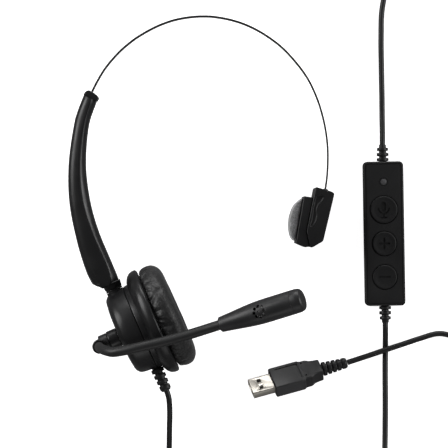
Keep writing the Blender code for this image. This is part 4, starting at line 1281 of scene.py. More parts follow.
@dataclass
class EarCup:
    """The cup: back housing, drum, ring, speaker cloth, cushion and cable gland."""

    pin_radius: float = 2.4
    gland_radius: float = 3.2
    pivot_radius: float = 2.3
    cushion_outline: tuple[POINT, ...] = (
        (16.0, 0.3), (21.0, 0.3), (25.0, 0.3), (27.7, 0.5), (28.9, 2.3), (29.2, 5.2), (28.4, 8.6),
        (25.6, 11.3), (21.6, 12.35), (17.6, 11.9), (14.7, 9.7), (13.5, 6.2), (13.6, 2.9), (14.4, 0.9),
    )
    cushion_steps: int = 220
    puckers: int = 50
    seed: int = 11

    def build(self, finishes: Finishes) -> None:
        """Models and seats every piece of the cup."""
        black = finishes[Slot.SATIN_BLACK]
        housing = lathe("cup_back_shell", rounded([
            (0.0, -21.7), (14.5, -21.4), (19.6, -20.2), (21.4, -17.6), (21.6, -10.85), (23.6, -10.85),
            (23.85, -11.1), (23.4, -18.0), (22.7, -20.6), (20.6, -22.3), (15.0, -23.1), (6.0, -23.5),
            (0.0, -23.5),
        ], 1.1, 4, False), 96)
        boss = lathe("neck_boss", rounded([
            (0.0, 24.85), (3.7, 24.85), (3.7, 24.15), (4.75, 24.15), (4.75, 18.5), (0.0, 18.5),
        ], 0.1, 3, False), 64)
        fuse(move(housing, CUP), move(boss, NECK))
        cut(housing, move(bore("pin_bore", self.pin_radius, 17.0, 27.0), NECK),
            move(bore("gland_bore", self.gland_radius, 16.0, 27.0), GLAND),
            move(bore("pivot_bore", self.pivot_radius, -25.0, -18.0), CUP))
        seat(housing, None, Body.CUP, black, Slot.SATIN_BLACK, ["cup_back_housing"])

        drum = lathe("cup_front_drum", rounded([
            (24.6, -3.4), (24.6, -6.2), (24.3, -9.0), (24.1, -10.3), (23.8, -10.65), (18.5, -10.65),
            (18.5, -5.0), (22.6, -5.0), (22.6, -3.4),
        ], 0.5, 3), 96, True)
        move(drum, CUP)
        cut(drum, move(bore("drum_gland_bore", self.gland_radius, 16.0, 27.0), GLAND))
        seat(drum, None, Body.CUP, black, Slot.SATIN_BLACK, ["cup_drum"])

        ring = lathe("cup_ring", rounded([
            (0.0, -1.2), (25.4, -1.2), (25.9, -0.3), (29.3, -0.2), (30.3, -1.1), (30.1, -3.4), (29.3, -5.3),
            (27.5, -6.9), (25.2, -8.0), (24.75, -8.0), (24.75, -3.0), (0.0, -3.0),
        ], 0.9, 4, False), 112)
        cut(ring, *(self.grille_hole(i) for i in range(7)))
        seat(ring, CUP, Body.CUP, black, Slot.SATIN_BLACK, ["baffle_ring"])

        cloth = lathe("speaker_cloth_disc", [
            (0.0, -0.35), (6.0, -0.38), (11.0, -0.5), (13.2, -0.62), (13.6, -0.7), (13.6, -0.85),
            (0.0, -0.75),
        ], 64)
        seat(cloth, CUP, Body.CUP, finishes[Slot.CLOTH], Slot.CLOTH, ["speaker_cloth"])

        self.build_cushion(finishes)
        self.build_gland(finishes)

    def grille_hole(self, index: int) -> PIECE:
        """The cutter for one sound hole behind the cloth."""
        reach = 6.5 if index else 0.0
        angle = math.radians(60.0 * index)
        spot = Frame.at((reach * math.cos(angle), reach * math.sin(angle), 0.0))
        return move(bore(f"grille_bore_{index}", 2.0, -4.0, 0.0), spot)

    def gathers(self) -> list[Pucker]:
        """The puckers round the ring, unevenly spaced and deep."""
        chance = random.Random(self.seed)
        step = math.tau / self.puckers
        return [
            Pucker(step * (i + chance.uniform(-0.32, 0.32)), chance.uniform(0.5, 1.5),
                   chance.uniform(0.8, 1.35), chance.uniform(3.2, 7.5))
            for i in range(self.puckers)
        ]

    def gather(self, spot: Vector, puckers: Sequence[Pucker]) -> Vector:
        """Where the skin goes at a spot, drawn in by the puckers near it.

        Args:
            spot: the place on the plain cushion, in millimetres.
            puckers: the puckers round the ring.

        Returns:
            The new place.
        """
        radius = math.hypot(spot.x, spot.y)
        angle = math.atan2(spot.y, spot.x)
        outside = smoothstep((radius - 21.0) / 5.0) * smoothstep((spot.z - 0.2) / 1.2)
        inside = smoothstep((16.5 - radius) / 2.5) * smoothstep((spot.z - 0.4) / 1.5)
        drawn = 0.0
        for pucker in puckers:
            slant = 0.02 * math.sin(9.0 * pucker.angle) * spot.z
            apart = (angle - pucker.angle - slant + math.pi) % math.tau - math.pi
            across = apart * 28.0 / pucker.width
            if abs(across) < 3.0:
                drawn += pucker.depth * math.exp(-across * across) * math.exp(-(spot.z / pucker.reach) ** 2)
        wave = (0.16 * math.sin(3 * angle + 0.7) + 0.10 * math.sin(7 * angle + 2.1)
                + 0.06 * math.sin(13 * angle))
        lower = math.exp(-((angle - math.radians(152.0)) / 0.2) ** 2)
        crease = lower * 0.55 * math.exp(-((spot.z - 4.2 - 9.0 * (angle - 2.65)) / 0.8) ** 2)
        crease += lower * 0.4 * math.exp(-((spot.z - 8.4 - 6.0 * (angle - 2.65)) / 0.7) ** 2)
        shift = -outside * (drawn + crease) + (outside + inside) * wave * 0.5 + inside * drawn * 0.5
        scale = (radius + shift) / radius
        lift = 0.35 * wave * smoothstep((spot.z - 8.0) / 4.0)
        return Vector((spot.x * scale, spot.y * scale, spot.z + lift))

    def build_cushion(self, finishes: Finishes) -> None:
        """The ear cushion: a soft ring, gathered where it enters the baffle ring and swollen."""
        outline = [tuple(p) for p in even_points([*self.cushion_outline, self.cushion_outline[0]], 48)[:-1]]
        cushion = lathe("ear_cushion_skin", outline, self.cushion_steps, True)
        puckers = self.gathers()
        for vertex in cushion.data.vertices:
            vertex.co = self.gather(vertex.co / MM, puckers) * MM

        def held(spot: Vector) -> float:
            """Firm at the base, free on the crown."""
            return 1.0 - smoothstep((spot.z - 0.35) / 1.3)

        inflate(cushion, held, 1.4, 0.35, 14, 0.015)
        refine(cushion)
        seat(cushion, CUP, Body.CUP, finishes[Slot.LEATHERETTE], Slot.LEATHERETTE, ["ear_cushion"], 60.0)

    def build_gland(self, finishes: Finishes) -> None:
        """The ribbed cable gland at the bottom of the cup."""
        relief = Relief(3.6, 3.1, 2.3, 24.6, 37.7, 4).model("cup_cord_relief", 19.0)
        seat(relief, GLAND, Body.CUP, finishes[Slot.CORD], Slot.CORD, ["cup_cord_gland"])


@dataclass(frozen=True)
class Relief:
    """A strain relief: round ribs along a core, smaller towards its tail."""

    radius: float
    tail_radius: float
    core: float
    start: float
    end: float
    ribs: int

    def model(self, name: str, root: float) -> PIECE:
        """Models it along the local Z axis, from a plain root.

        Args:
            name: the piece's name.
            root: where its root starts, in millimetres.

        Returns:
            The closed piece.
        """
        pitch = (self.end - self.start) / self.ribs
        profile: list[POINT] = [(0.0, root), (self.core + 0.3, root), (self.core + 0.3, self.start - 0.3)]
        for rib in range(self.ribs):
            radius = self.radius + (self.tail_radius - self.radius) * rib / max(1, self.ribs - 1)
            base = self.start + rib * pitch
            profile += [(radius, base), (radius, base + 0.62 * pitch)]
            if rib < self.ribs - 1:
                profile += [(self.core, base + 0.70 * pitch), (self.core, base + 0.94 * pitch)]
        profile += [(self.core, self.end), (0.0, self.end)]
        return lathe(name, rounded(profile, 0.22, 2, False), 40)


# ---------------------------------------------------------------- arm


@dataclass
class Arm:
    """The slider arm: an outer shell and an inner cover that meet in a ridge, its end cap and its neck."""

    half_height: float = 8.5
    stations: int = 34
    outer: tuple[POINT, ...] = (
        (-65.6, 26.0), (-68.9, 17.5), (-71.1, 9.2), (-73.9, -11.7), (-73.5, -33.0), (-69.4, -54.1),
        (-64.8, -69.3), (-61.9, -75.9), (-60.3, -78.2), (-57.9, -79.2),
    )
    parting: tuple[POINT, ...] = (
        (-60.9, 23.7), (-65.2, 9.2), (-67.5, -12.8), (-66.1, -33.0), (-60.2, -50.8), (-52.6, -67.6),
        (-50.6, -75.4), (-51.3, -78.4),
    )
    inner: tuple[POINT, ...] = (
        (-58.5, 22.6), (-62.8, 9.2), (-64.4, -11.7), (-62.2, -31.3), (-57.6, -48.0), (-50.9, -64.2),
        (-46.4, -75.0),
    )
    mouth: POINT = (-61.4, 27.3)
    mouth_direction: POINT = (0.43, 0.903)
    slide_radius: float = 90.0

    def __post_init__(self) -> None:
        """Works out where the strip's arc is centred."""
        direction = Vector(self.mouth_direction).normalized()
        self.inward = Vector((direction.y, -direction.x))
        self.slide_centre = Vector(self.mouth) + self.slide_radius * self.inward
        self.mouth_angle = 180.0 - math.degrees(
            math.asin((self.mouth[1] - self.slide_centre.y) / self.slide_radius))
        self.slider = Frame.at((*self.slide_centre, BAND_HEIGHT), parent=TABLE)

    def rails(self, first: Sequence[POINT], second: Sequence[POINT]) -> list[STATION]:
        """Stations between two edges, for a loft.

        Args:
            first: the edge that the section starts at.
            second: the edge that it reaches.

        Returns:
            The stations, from the mouth to the neck.
        """
        starts = even_points([(*p, 0.0) for p in first], self.stations)
        ends = even_points([(*p, 0.0) for p in second], self.stations)
        result = []
        for a, b in zip(starts, ends):
            across = b - a
            result.append((a, math.atan2(across.y, across.x), across.length, self.half_height))
        return result

    def build(self, finishes: Finishes) -> None:
        """Models and seats every piece of the arm."""
        black = finishes[Slot.SATIN_BLACK]
        level = Frame.at((0.0, 0.0, BAND_HEIGHT), parent=TABLE)

        half = [(0.0, 0.30), (0.035, 0.52), (0.10, 0.70), (0.22, 0.83), (0.40, 0.91), (0.62, 0.965),
                (0.84, 0.995), (0.94, 1.0), (0.985, 0.985), (1.0, 0.95)]
        section = half + [(u, -v) for u, v in reversed(half)]
        shell = loft("arm_outer_body", section, self.rails(self.outer, self.parting))
        fuse(shell, self.shoulder())
        move(shell, level)
        cut(shell, self.trough(), self.bolt_bore())
        bevel(shell, 0.35, 2, 50.0)
        seat(shell, None, Body.ARM, black, Slot.SATIN_BLACK, ["arm_outer_shell"], 38.0)

        half = [(0.0, 0.93), (0.10, 0.915), (0.28, 0.865), (0.55, 0.76), (0.80, 0.62), (0.94, 0.46),
                (1.0, 0.28)]
        section = half + [(u, -v) for u, v in reversed(half)]
        shifted = [(x + 0.06, y) for x, y in self.parting]
        cover = loft("arm_inner_body", section, self.rails(shifted, self.inner))
        move(cover, level)
        clamp = Frame.at((-57.7, -48.9, BAND_HEIGHT), (0, 0, 1), (0.931, 0.364, 0.0), TABLE)
        cut(cover, self.bolt_bore(), move(screw_bore("clamp_sink", -9.5, -1.7, 3.0), clamp))
        bevel(cover, 0.3, 2, 50.0)
        seat(cover, None, Body.ARM, black, Slot.SATIN_BLACK, ["arm_inner_cover"], 38.0)

        mouth = Frame.at((*self.mouth, BAND_HEIGHT), (*self.inward, 0.0), parent=TABLE)
        cap = prism("arm_mouth_cap", [
            (-3.25, -3.15), (-3.2, -1.4), (-2.5, 0.2), (-1.2, 0.75), (2.0, 0.5), (4.2, -0.1), (5.0, -1.1),
            (4.75, -3.15),
        ], -7.9, 7.9)
        bevel(cap, 0.8, 5)
        cut(cap, block("strip_slot", (-0.8, -5.0, -5.3), (0.8, 2.0, 5.3)))
        seat(cap, mouth, Body.ARM, black, Slot.SATIN_BLACK, ["arm_end_cap"])

        collar = lathe("neck_collar_ring", rounded([
            (4.75, 24.3), (4.75, 25.0), (4.5, 25.15), (4.5, 25.4), (4.8, 25.55), (5.0, 27.2), (5.25, 28.95),
            (2.3, 28.95), (2.3, 25.1), (4.0, 25.1), (4.0, 24.3),
        ], 0.12, 3), 64, True)
        seat(collar, NECK, Body.ARM, black, Slot.SATIN_BLACK, ["neck_collar"])

    def shoulder(self) -> PIECE:
        """The shell's foot, rounded down from the outer edge to the neck."""
        foot = prism("arm_foot", [
            (-58.5, -78.0), (-56.8, -79.35), (-55.1, -80.2), (-45.8, -76.05), (-46.25, -75.05),
            (-51.0, -77.0), (-54.0, -76.0),
        ], -7.6, 7.6)
        return bevel(foot, 1.0, 4)

    def trough(self) -> PIECE:
        """The cutter for the space that the strip slides in."""
        end = self.mouth_angle + 40.0
        outline = arc((0.0, 0.0), self.slide_radius + 1.2, self.mouth_angle - 5.7, end, 24)
        outline += arc((0.0, 0.0), self.slide_radius - 10.0, end, self.mouth_angle - 5.7, 16)
        return move(prism("strip_trough", outline, -5.5, 5.5), self.slider)

    def bolt_bore(self) -> PIECE:
        """The cutter for the swivel pin's hole, in place."""
        return move(bore("bolt_bore", 2.3, 20.0, 38.0), NECK)


# ---------------------------------------------------------------- head band


@dataclass
class HeadBand:
    """The sprung steel strip, with its detents, and the clip on its end."""

    arm: Arm
    thickness: float = 0.8
    width: float = 10.0
    hidden_angle: float = 36.0
    route: tuple[POINT, ...] = (
        (-61.4, 27.3), (-57.5, 34.9), (-53.1, 41.8), (-46.5, 49.4), (-39.9, 55.2), (-33.3, 59.7),
        (-24.5, 64.3), (-15.7, 67.4), (-6.9, 69.0), (0.0, 69.4), (6.3, 69.1), (15.1, 67.5), (23.9, 64.6),
        (32.7, 60.1), (41.5, 53.9), (48.1, 47.5), (54.7, 39.4), (59.1, 32.3), (63.0, 23.4), (65.6, 15.0),
        (67.4, 6.7), (68.4, -1.5), (68.6, -8.4), (68.4, -15.3), (67.9, -20.8), (67.2, -25.6),
    )

    def build(self, finishes: Finishes) -> None:
        """Models and seats the strip and its clip."""
        arm = self.arm
        sheathed = arc(tuple(arm.slide_centre), arm.slide_radius, arm.mouth_angle + self.hidden_angle,
                       arm.mouth_angle, 30)
        hidden = [Vector((*p, 0.0)) for p in sheathed]
        line = hidden[:-1] + even_points([(*p, 0.0) for p in self.route], 110)
        edge = BAND_HEIGHT - self.width / 2
        strip = draw_line("band_spring_strip", [(p.x, p.y, edge) for p in line], False)
        bpy.ops.mesh.extrude_region_move(TRANSFORM_OT_translate={"value": (0, 0, self.width * MM)})
        finish_faces()
        wall = strip.modifiers.new("sheet thickness", "SOLIDIFY")
        wall.thickness = self.thickness * MM
        wall.offset = 0.0
        wall.use_even_offset = True
        apply_modifiers(strip)
        bevel(strip, 0.2, 2, 50.0)
        move(strip, TABLE)
        holes = []
        for i in range(6):
            angle = math.radians(arm.mouth_angle + 4.0 + i * 4.5)
            radial = (math.cos(angle), math.sin(angle), 0.0)
            spot = Frame.at((arm.slide_radius * radial[0], arm.slide_radius * radial[1], 0.0), (0, 0, 1),
                            radial, arm.slider)
            holes.append(move(bore(f"detent_{i}", 0.9, -2.0, 2.0, 20), spot))
        cut(strip, *holes)
        seat(strip, None, Body.BAND, finishes[Slot.BAND_STEEL], Slot.BAND_STEEL, ["band_strip"], 40.0)

        knuckle = arc((0.0, -TBar.pin_drop), 2.2, 137.0, 403.0, 24)
        clip = prism("band_end_clip", knuckle + [(1.5, 0.5), (1.0, 1.0), (-1.0, 1.0), (-1.5, 0.5)], -8.0, 8.0)
        bevel(clip, 0.25, 2, 40.0)
        cut(clip, block("clip_slot", (-0.85, -3.4, -5.4), (0.85, 2.0, 5.4)),
            TBar.pin_bore("clip_pin_bore", 9.0))
        seat(clip, TBar.frame(), Body.BAND, finishes[Slot.BAND_STEEL], Slot.BAND_STEEL, ["band_hinge_clip"])


# ---------------------------------------------------------------- T-bar


@dataclass
class TBar:
    """The rest for the other side of the head: a hollow cover, a plate screwed to it and a foam pad."""

    pin_drop: float = 6.0
    pin_bore_radius: float = 1.3
    half_width: float = 30.0
    cover: tuple[POINT, ...] = (
        (-6.1, 0.2), (-5.3, 0.45), (2.6, 0.0), (4.2, -0.4), (4.7, -1.2), (4.7, -26.8), (4.2, -27.8),
        (-0.2, -32.0), (-1.4, -32.2), (-5.2, -24.1), (-5.9, -5.3),
    )
    groove: tuple[POINT, ...] = (
        (-4.9, -4.2), (-2.6, -3.2), (-0.2, -3.9), (-0.9, -6.2), (-2.4, -8.6), (-2.7, -11.5), (-1.6, -14.2),
        (-1.5, -17.6), (-2.6, -20.8), (-4.6, -21.6), (-4.3, -17.0), (-4.9, -11.0),
    )
    plate: tuple[POINT, ...] = (
        (-11.2, -5.9), (-6.1, -5.5), (-5.4, -24.2), (-1.8, -31.9), (-4.2, -32.9), (-9.5, -31.9),
    )
    foam: tuple[POINT, ...] = (
        (-11.5, -6.9), (-12.6, -8.2), (-14.6, -10.8), (-15.5, -14.5), (-15.6, -19.0), (-14.9, -24.0),
        (-12.8, -29.0), (-10.1, -31.4), (-9.95, -30.9),
    )

    @staticmethod
    def frame() -> Frame:
        """The bar's frame: +Y up along it, +Z through its width."""
        lean = math.radians(-13.4)
        return Frame.at((67.05, -26.4, BAND_HEIGHT), (math.cos(lean), math.sin(lean), 0.0), parent=TABLE)

    def build(self, finishes: Finishes) -> None:
        """Models and seats every piece of the bar."""
        black, frame, half = finishes[Slot.SATIN_BLACK], self.frame(), self.half_width
        cover = prism("tbar_outer_cover", self.cover, -half, half)
        bevel(cover, 0.75, 4)
        for side in (-1.0, 1.0):
            groove = prism("side_groove", self.groove, side * (half + 0.15) - 1.0, side * (half + 0.15) + 1.0)
            cut(cover, bevel(groove, 0.8, 4, 20.0))
        cut(cover, block("cover_hollow", (-8.0, -26.0, -27.0), (2.7, -13.5, 27.0)),
            block("clip_pocket", (-3.1, -11.5, -8.7), (3.1, 2.0, 8.7)), self.pin_bore("cover_pin_bore", 12.4))
        seat(cover, frame, Body.TBAR, black, Slot.SATIN_BLACK, ["tbar_cover"])

        plate = prism("tbar_inner_plate", self.plate, -half + 1.0, half - 1.0)
        bevel(plate, 0.5, 4)
        cut(plate, *(move(screw_bore("screw_sink", -11.5, -1.8, 2.0),
                          Frame.at((-10.9, -9.6, place), (0, 0, 1), (-1, 0, 0))) for place in (-20.0, 20.0)))
        seat(plate, frame, Body.TBAR, black, Slot.SATIN_BLACK, ["tbar_plate"])
        self.build_foam(frame, finishes)

    @classmethod
    def pin_bore(cls, name: str, half_length: float) -> PIECE:
        """The cutter for the hinge pin, in the bar's frame."""
        cutter = bore(name, cls.pin_bore_radius, -half_length, half_length, 24)
        return move(cutter, Frame.at((0.0, -cls.pin_drop, 0.0)))

    def build_foam(self, frame: Frame, finishes: Finishes) -> None:
        """The foam pad: round across the bar, its edges softened and its skin swollen."""
        pad = prism("tbar_foam_pad", self.foam, -self.half_width + 3.0, self.half_width - 3.0)
        bevel(pad, 1.2, 4, 50.0)
        remesh = pad.modifiers.new("even skin", "REMESH")
        remesh.mode = "VOXEL"
        remesh.voxel_size = 0.9 * MM
        apply_modifiers(pad)

        def held(spot: Vector) -> float:
            """Firm where it is glued to the plate."""
            return 1.0 - smoothstep((-11.3 - spot.x) / 1.5)

        inflate(pad, held, 2.0, 0.5, 12)
        refine(pad)
        seat(pad, frame, Body.TBAR, finishes[Slot.FOAM], Slot.FOAM, ["tbar_foam"], 60.0)


# ---------------------------------------------------------------- boom


@dataclass
class Boom:
    """The boom: hub, elbow, collar, rubber tube and the microphone's barrel."""

    tube_radius: float = 2.75
    mic_start: SPOT = (9.5, -99.0, 70.7)
    mic_direction: SPOT = (0.916, 0.292, 0.276)
    mic_radius: float = 6.6
    mic_split: float = 42.6
    mic_length: float = 48.9

    def route(self) -> list[Sequence[float]]:
        """The points that the tube passes through."""
        start, direction = Vector(self.mic_start), Vector(self.mic_direction).normalized()
        return [
            (-56.7, -111.9, 37.0), (-56.7, -111.9, 39.6), (-56.6, -112.0, 42.5), (-55.2, -112.7, 50.0),
            (-52.2, -113.6, 56.0), (-48.2, -114.1, 59.6), (-40.3, -112.7, 62.5), (-33.2, -111.1, 63.8),
            (-24.2, -109.0, 64.8), (-16.8, -107.1, 65.6), (-7.4, -104.4, 67.0), (0.4, -101.95, 68.3),
            *(tuple(start + direction * along) for along in (-3.0, 0.0, 3.5, 7.0)),
        ]

    def build(self, finishes: Finishes) -> None:
        """Models and seats every piece of the boom."""
        black, grey = finishes[Slot.SATIN_BLACK], finishes[Slot.DARK_GREY]
        elbow_frame = Frame.at((-0.5, 0.0, -35.2), (1, 0, 0), (0, 1, 0), CUP)
        hub = lathe("boom_pivot_hub", rounded([
            (5.3, -23.75), (5.3, -28.9), (5.0, -29.45), (2.4, -29.45), (2.4, -24.65), (4.7, -24.65),
            (4.7, -23.75),
        ], 0.2, 4), 72, True)
        seat(hub, CUP, Body.BOOM, black, Slot.SATIN_BLACK, ["boom_hub"])

        elbow = lathe("boom_elbow_body", rounded([(0.0, -29.5), (4.9, -29.5), (4.9, -34.0), (4.2, -34.6),
                                                  (0.0, -34.6)], 0.6, 4, False), 72)
        move(elbow, CUP)
        post = lathe("elbow_post", rounded([(0.0, 6.45), (3.9, 6.45), (3.9, -3.6), (3.0, -4.6), (0.0, -4.6)],
                                           0.7, 4, False), 64)
        fuse(elbow, move(post, elbow_frame))
        cut(elbow, move(bore("elbow_bore", 2.3, -32.0, -29.0), CUP))
        seat(elbow, None, Body.BOOM, grey, Slot.DARK_GREY, ["boom_elbow"])

        collar = lathe("boom_end_collar", rounded([
            (3.5, 9.4), (4.0, 8.9), (4.0, 7.0), (3.6, 6.5), (3.07, 6.5), (3.07, 9.4),
        ], 0.25, 3), 64, True)
        seat(collar, elbow_frame, Body.BOOM, black, Slot.SATIN_BLACK, ["boom_collar"])

        self.build_tube(finishes)
        self.build_microphone(grey)

    def build_tube(self, finishes: Finishes) -> None:
        """The rubber-covered tube, swept along its route."""
        points = [TABLE.point(point) for point in even_points(self.route(), 150)]
        take(round_tube("boom_rubber_tube", points, self.tube_radius, 7))
        bpy.ops.object.convert(target="MESH")
        tube = bpy.context.object
        bpy.ops.object.mode_set(mode="EDIT")
        finish_faces()
        seat(tube, None, Body.BOOM, finishes[Slot.BOOM], Slot.BOOM, ["boom_tube"], 40.0)

    def build_microphone(self, grey: MATERIAL) -> None:
        """The tapered barrel with its ring of sound holes, and the cap on its end."""
        frame = Frame.at(self.mic_start, (0, 0, 1), self.mic_direction, TABLE)
        radius, split, end = self.mic_radius, self.mic_split, self.mic_length
        barrel = lathe("microphone_barrel", rounded([
            (3.9, 0.0), (4.25, 0.6), (4.6, 4.0), (5.0, 8.0), (5.45, 11.5), (5.85, 15.0), (6.15, 18.0),
            (6.4, 21.5), (6.56, 25.0), (radius, 29.0), (radius, split - 0.05), (radius - 0.1, split),
            (5.4, split), (5.4, 22.0), (4.2, 10.0), (3.07, 8.0), (3.07, 0.0),
        ], 0.3, 3), 96, True)
        port = Frame.at((0.0, 0.0, 24.6), (0, 0, 1), (1.0, -0.12, 0.0))
        holes = [move(bore("port_bore", 0.85, 3.0, 8.0, 20), port)]
        for i in range(8):
            angle = math.radians(45.0 * i)
            spot = Frame.at((2.85 * math.cos(angle), 2.85 * math.sin(angle), 0.0), parent=port)
            holes.append(move(bore(f"port_bore_{i}", 0.92, 3.0, 8.0, 16), spot))
        cut(barrel, *holes)
        seat(barrel, frame, Body.BOOM, grey, Slot.DARK_GREY, ["mic_housing"], 40.0)
        cap = lathe("microphone_end_cap", rounded([
            (0.0, split - 2.4), (4.9, split - 2.4), (5.0, split + 0.06), (radius - 0.12, split + 0.06),
            (radius - 0.03, split + 0.2), (6.55, end - 3.0), (5.9, end - 0.9), (4.2, end - 0.1), (0.0, end),
        ], 0.9, 4, False), 96)
        seat(cap, frame, Body.BOOM, grey, Slot.DARK_GREY, ["mic_end_cap"], 40.0)


# ---------------------------------------------------------------- remote


@dataclass(frozen=True)
class Button:
    """One round button of the remote."""

    name: str
    node: str
    body: Body
    y: float
    radius: float
    icon: Icon

    def model(self) -> PIECE:
        """The button about its own axis, with its sign sunk into it."""
        r, top = self.radius, 11.25
        button = lathe(self.name, rounded([
            (0.0, top - 0.30), (r - 2.6, top - 0.24), (r - 1.2, top - 0.04), (r - 0.5, top), (r, top - 0.5),
            (r, 8.7), (r + 0.7, 8.7), (r + 0.7, 7.9), (0.0, 7.9),
        ], 0.3, 3, False), 96)
        return cut(button, *self.sign())

    def sign(self) -> list[PIECE]:
        """The cutters for the sign."""
        low, high = 10.3, 12.0
        if self.icon is Icon.MINUS:
            return [prism("minus_bar", rounded_rectangle(6.4, 0.9, 0.35), low, high)]
        if self.icon is Icon.PLUS:
            across = prism("plus_bar", rounded_rectangle(6.4, 0.9, 0.35), low, high)
            upright = prism("plus_upright", rounded_rectangle(0.9, 6.4, 0.35), low, high)
            return [fuse(across, upright)]
        body = [(x, y + 1.6) for x, y in rounded_rectangle(2.6, 5.4, 1.29)]
        cradle = arc((0.0, 0.9), 3.3, 180.0, 360.0, 20) + arc((0.0, 0.9), 2.6, 360.0, 180.0, 20)
        stem = [(-0.35, -4.2), (0.35, -4.2), (0.35, -2.1), (-0.35, -2.1)]
        foot = [(-1.8, -4.7), (1.8, -4.7), (1.8, -4.0), (-1.8, -4.0)]
        return [prism("mic_body", body, low, high),
                fuse(prism("mic_cradle", cradle, low, high), prism("mic_stem", stem, low, high),
                     prism("mic_foot", foot, low, high))]


@dataclass
class Remote:
    """The inline remote: two case halves, a framed panel, three buttons, a light and two strain reliefs."""

    width: float = 22.4
    length: float = 80.2
    height: float = 11.0
    corner: float = 2.4
    split: float = 5.4
    outlet_height: float = 5.35
    half_seam: float = 0.12
    button_gap: float = 0.32
    light_y: float = 28.8
    screw_y: float = 34.3
    buttons: tuple[Button, ...] = (
        Button("mute_button_cap", "mute_button", Body.MUTE, 13.3, 7.7, Icon.MICROPHONE),
        Button("volume_up_button_cap", "volume_up_button", Body.LOUDER, -5.5, 6.8, Icon.PLUS),
        Button("volume_down_button_cap", "volume_down_button", Body.SOFTER, -24.1, 6.8, Icon.MINUS),
    )
    lean: float = math.radians(0.95)
    frame: Frame = field(init=False)

    def __post_init__(self) -> None:
        """Lays the remote on the table."""
        across = (math.cos(self.lean), math.sin(self.lean), 0.0)
        self.frame = Frame.at((100.5, -50.07, 0.0), across, parent=TABLE)

    def build(self, finishes: Finishes) -> None:
        """Models and seats every piece of the remote."""
        black = finishes[Slot.REMOTE_BLACK]
        outline = rounded_rectangle(self.width, self.length, self.corner)
        pocket = rounded_rectangle(self.width - 3.2, self.length - 3.2, self.corner - 1.4)
        case = prism("remote_back_case", outline, 0.0, self.split - self.half_seam)
        bevel(case, 0.9, 4)
        cut(case, prism("case_pocket", pocket, 1.6, 8.0), *self.outlets(), *self.screw_holes())
        seat(case, self.frame, Body.CUP, black, Slot.REMOTE_BLACK, ["remote_bottom_case"])

        cover = prism("remote_front_case", outline, self.split + self.half_seam, self.height - 0.75)
        self.frame_panel(cover)
        cut(cover, prism("cover_pocket", pocket, 0.0, 9.2), *self.outlets())
        cut(cover, *(self.round_hole(button.y, button.radius + self.button_gap) for button in self.buttons))
        cut(cover, self.round_hole(self.light_y, 2.2))
        seat(cover, self.frame, Body.CUP, black, Slot.REMOTE_BLACK, ["remote_top_cover"])

        for button in self.buttons:
            place = Frame.at((0.0, button.y, 0.0), parent=self.frame)
            seat(button.model(), place, button.body, finishes[Slot.BUTTON], Slot.BUTTON, [button.node])
        lens = lathe("status_light_lens", rounded([
            (0.0, 11.1), (0.9, 11.05), (1.6, 10.85), (2.05, 10.5), (2.05, 8.8), (2.4, 8.8), (2.4, 5.2),
            (0.0, 5.2),
        ], 0.3, 3, False), 48)
        seat(lens, Frame.at((0.0, self.light_y, 0.0), parent=self.frame), Body.CUP, finishes[Slot.LENS],
             Slot.LENS, ["led_lens"])
        for end, sign in (("top", 1.0), ("bottom", -1.0)):
            outlet = Frame.at((0.0, sign * self.length / 2, self.outlet_height), (0, 0, 1), (0, sign, 0),
                              self.frame)
            relief = lathe(f"remote_{end}_strain_relief", rounded([
                (0.0, -2.4), (2.2, -2.4), (2.2, 0.2), (3.3, 0.3), (3.3, 1.9), (2.0, 2.1), (2.0, 2.9),
                (3.3, 3.1), (3.3, 4.8), (2.0, 5.0), (2.0, 5.8), (3.1, 6.0), (3.1, 7.6), (2.0, 7.8),
                (1.95, 9.4), (0.0, 9.4),
            ], 0.2, 2, False), 40)
            seat(relief, outlet, Body.CUP, finishes[Slot.CORD], Slot.CORD, [f"remote_relief_{end}"])

    def frame_panel(self, cover: PIECE) -> None:
        """Chamfers the rim of the front and sinks a groove round its panel, with insets on the top face."""
        take(cover)
        bpy.ops.object.mode_set(mode="EDIT")
        bpy.ops.mesh.select_mode(type="FACE")
        bpy.ops.mesh.select_all(action="DESELECT")
        bpy.ops.object.mode_set(mode="OBJECT")
        for face in cover.data.polygons:
            face.select = face.normal.z > 0.9
        bpy.ops.object.mode_set(mode="EDIT")
        for thickness, depth in ((0.25, 0.42), (0.35, 0.28), (0.3, 0.05), (0.3, 0.0), (0.08, -0.45),
                                 (0.24, 0.0), (0.08, 0.42), (0.15, 0.03)):
            bpy.ops.mesh.inset(thickness=thickness * MM, depth=depth * MM, use_even_offset=True)
        finish_faces()

    def round_hole(self, y: float, radius: float) -> PIECE:
        """The cutter for a button or the light."""
        return move(bore("round_hole", radius, 8.0, 13.0, 96), Frame.at((0.0, y, 0.0)))

    def outlets(self) -> list[PIECE]:
        """The cutters for the two cord outlets."""
        made = []
        for sign in (1.0, -1.0):
            spot = Frame.at((0.0, sign * self.length / 2, self.outlet_height), (0, 0, 1), (0, sign, 0))
            made.append(move(bore("outlet_bore", 3.0, -2.5, 2.0, 40), spot))
        return made

    def screw_holes(self) -> list[PIECE]:
        """The cutters for the two screws from behind."""
        made = []
        for y in (self.screw_y, -self.screw_y):
            hole = lathe("screw_hole", [(0.0, 3.0), (SCREW_RADIUS, 3.0), (SCREW_RADIUS, 1.0), (2.2, 1.0),
                                        (2.2, -1.0), (0.0, -1.0)], 32)
            made.append(move(hole, Frame.at((0.0, y, 0.0))))
        return made


# ---------------------------------------------------------------- USB plug


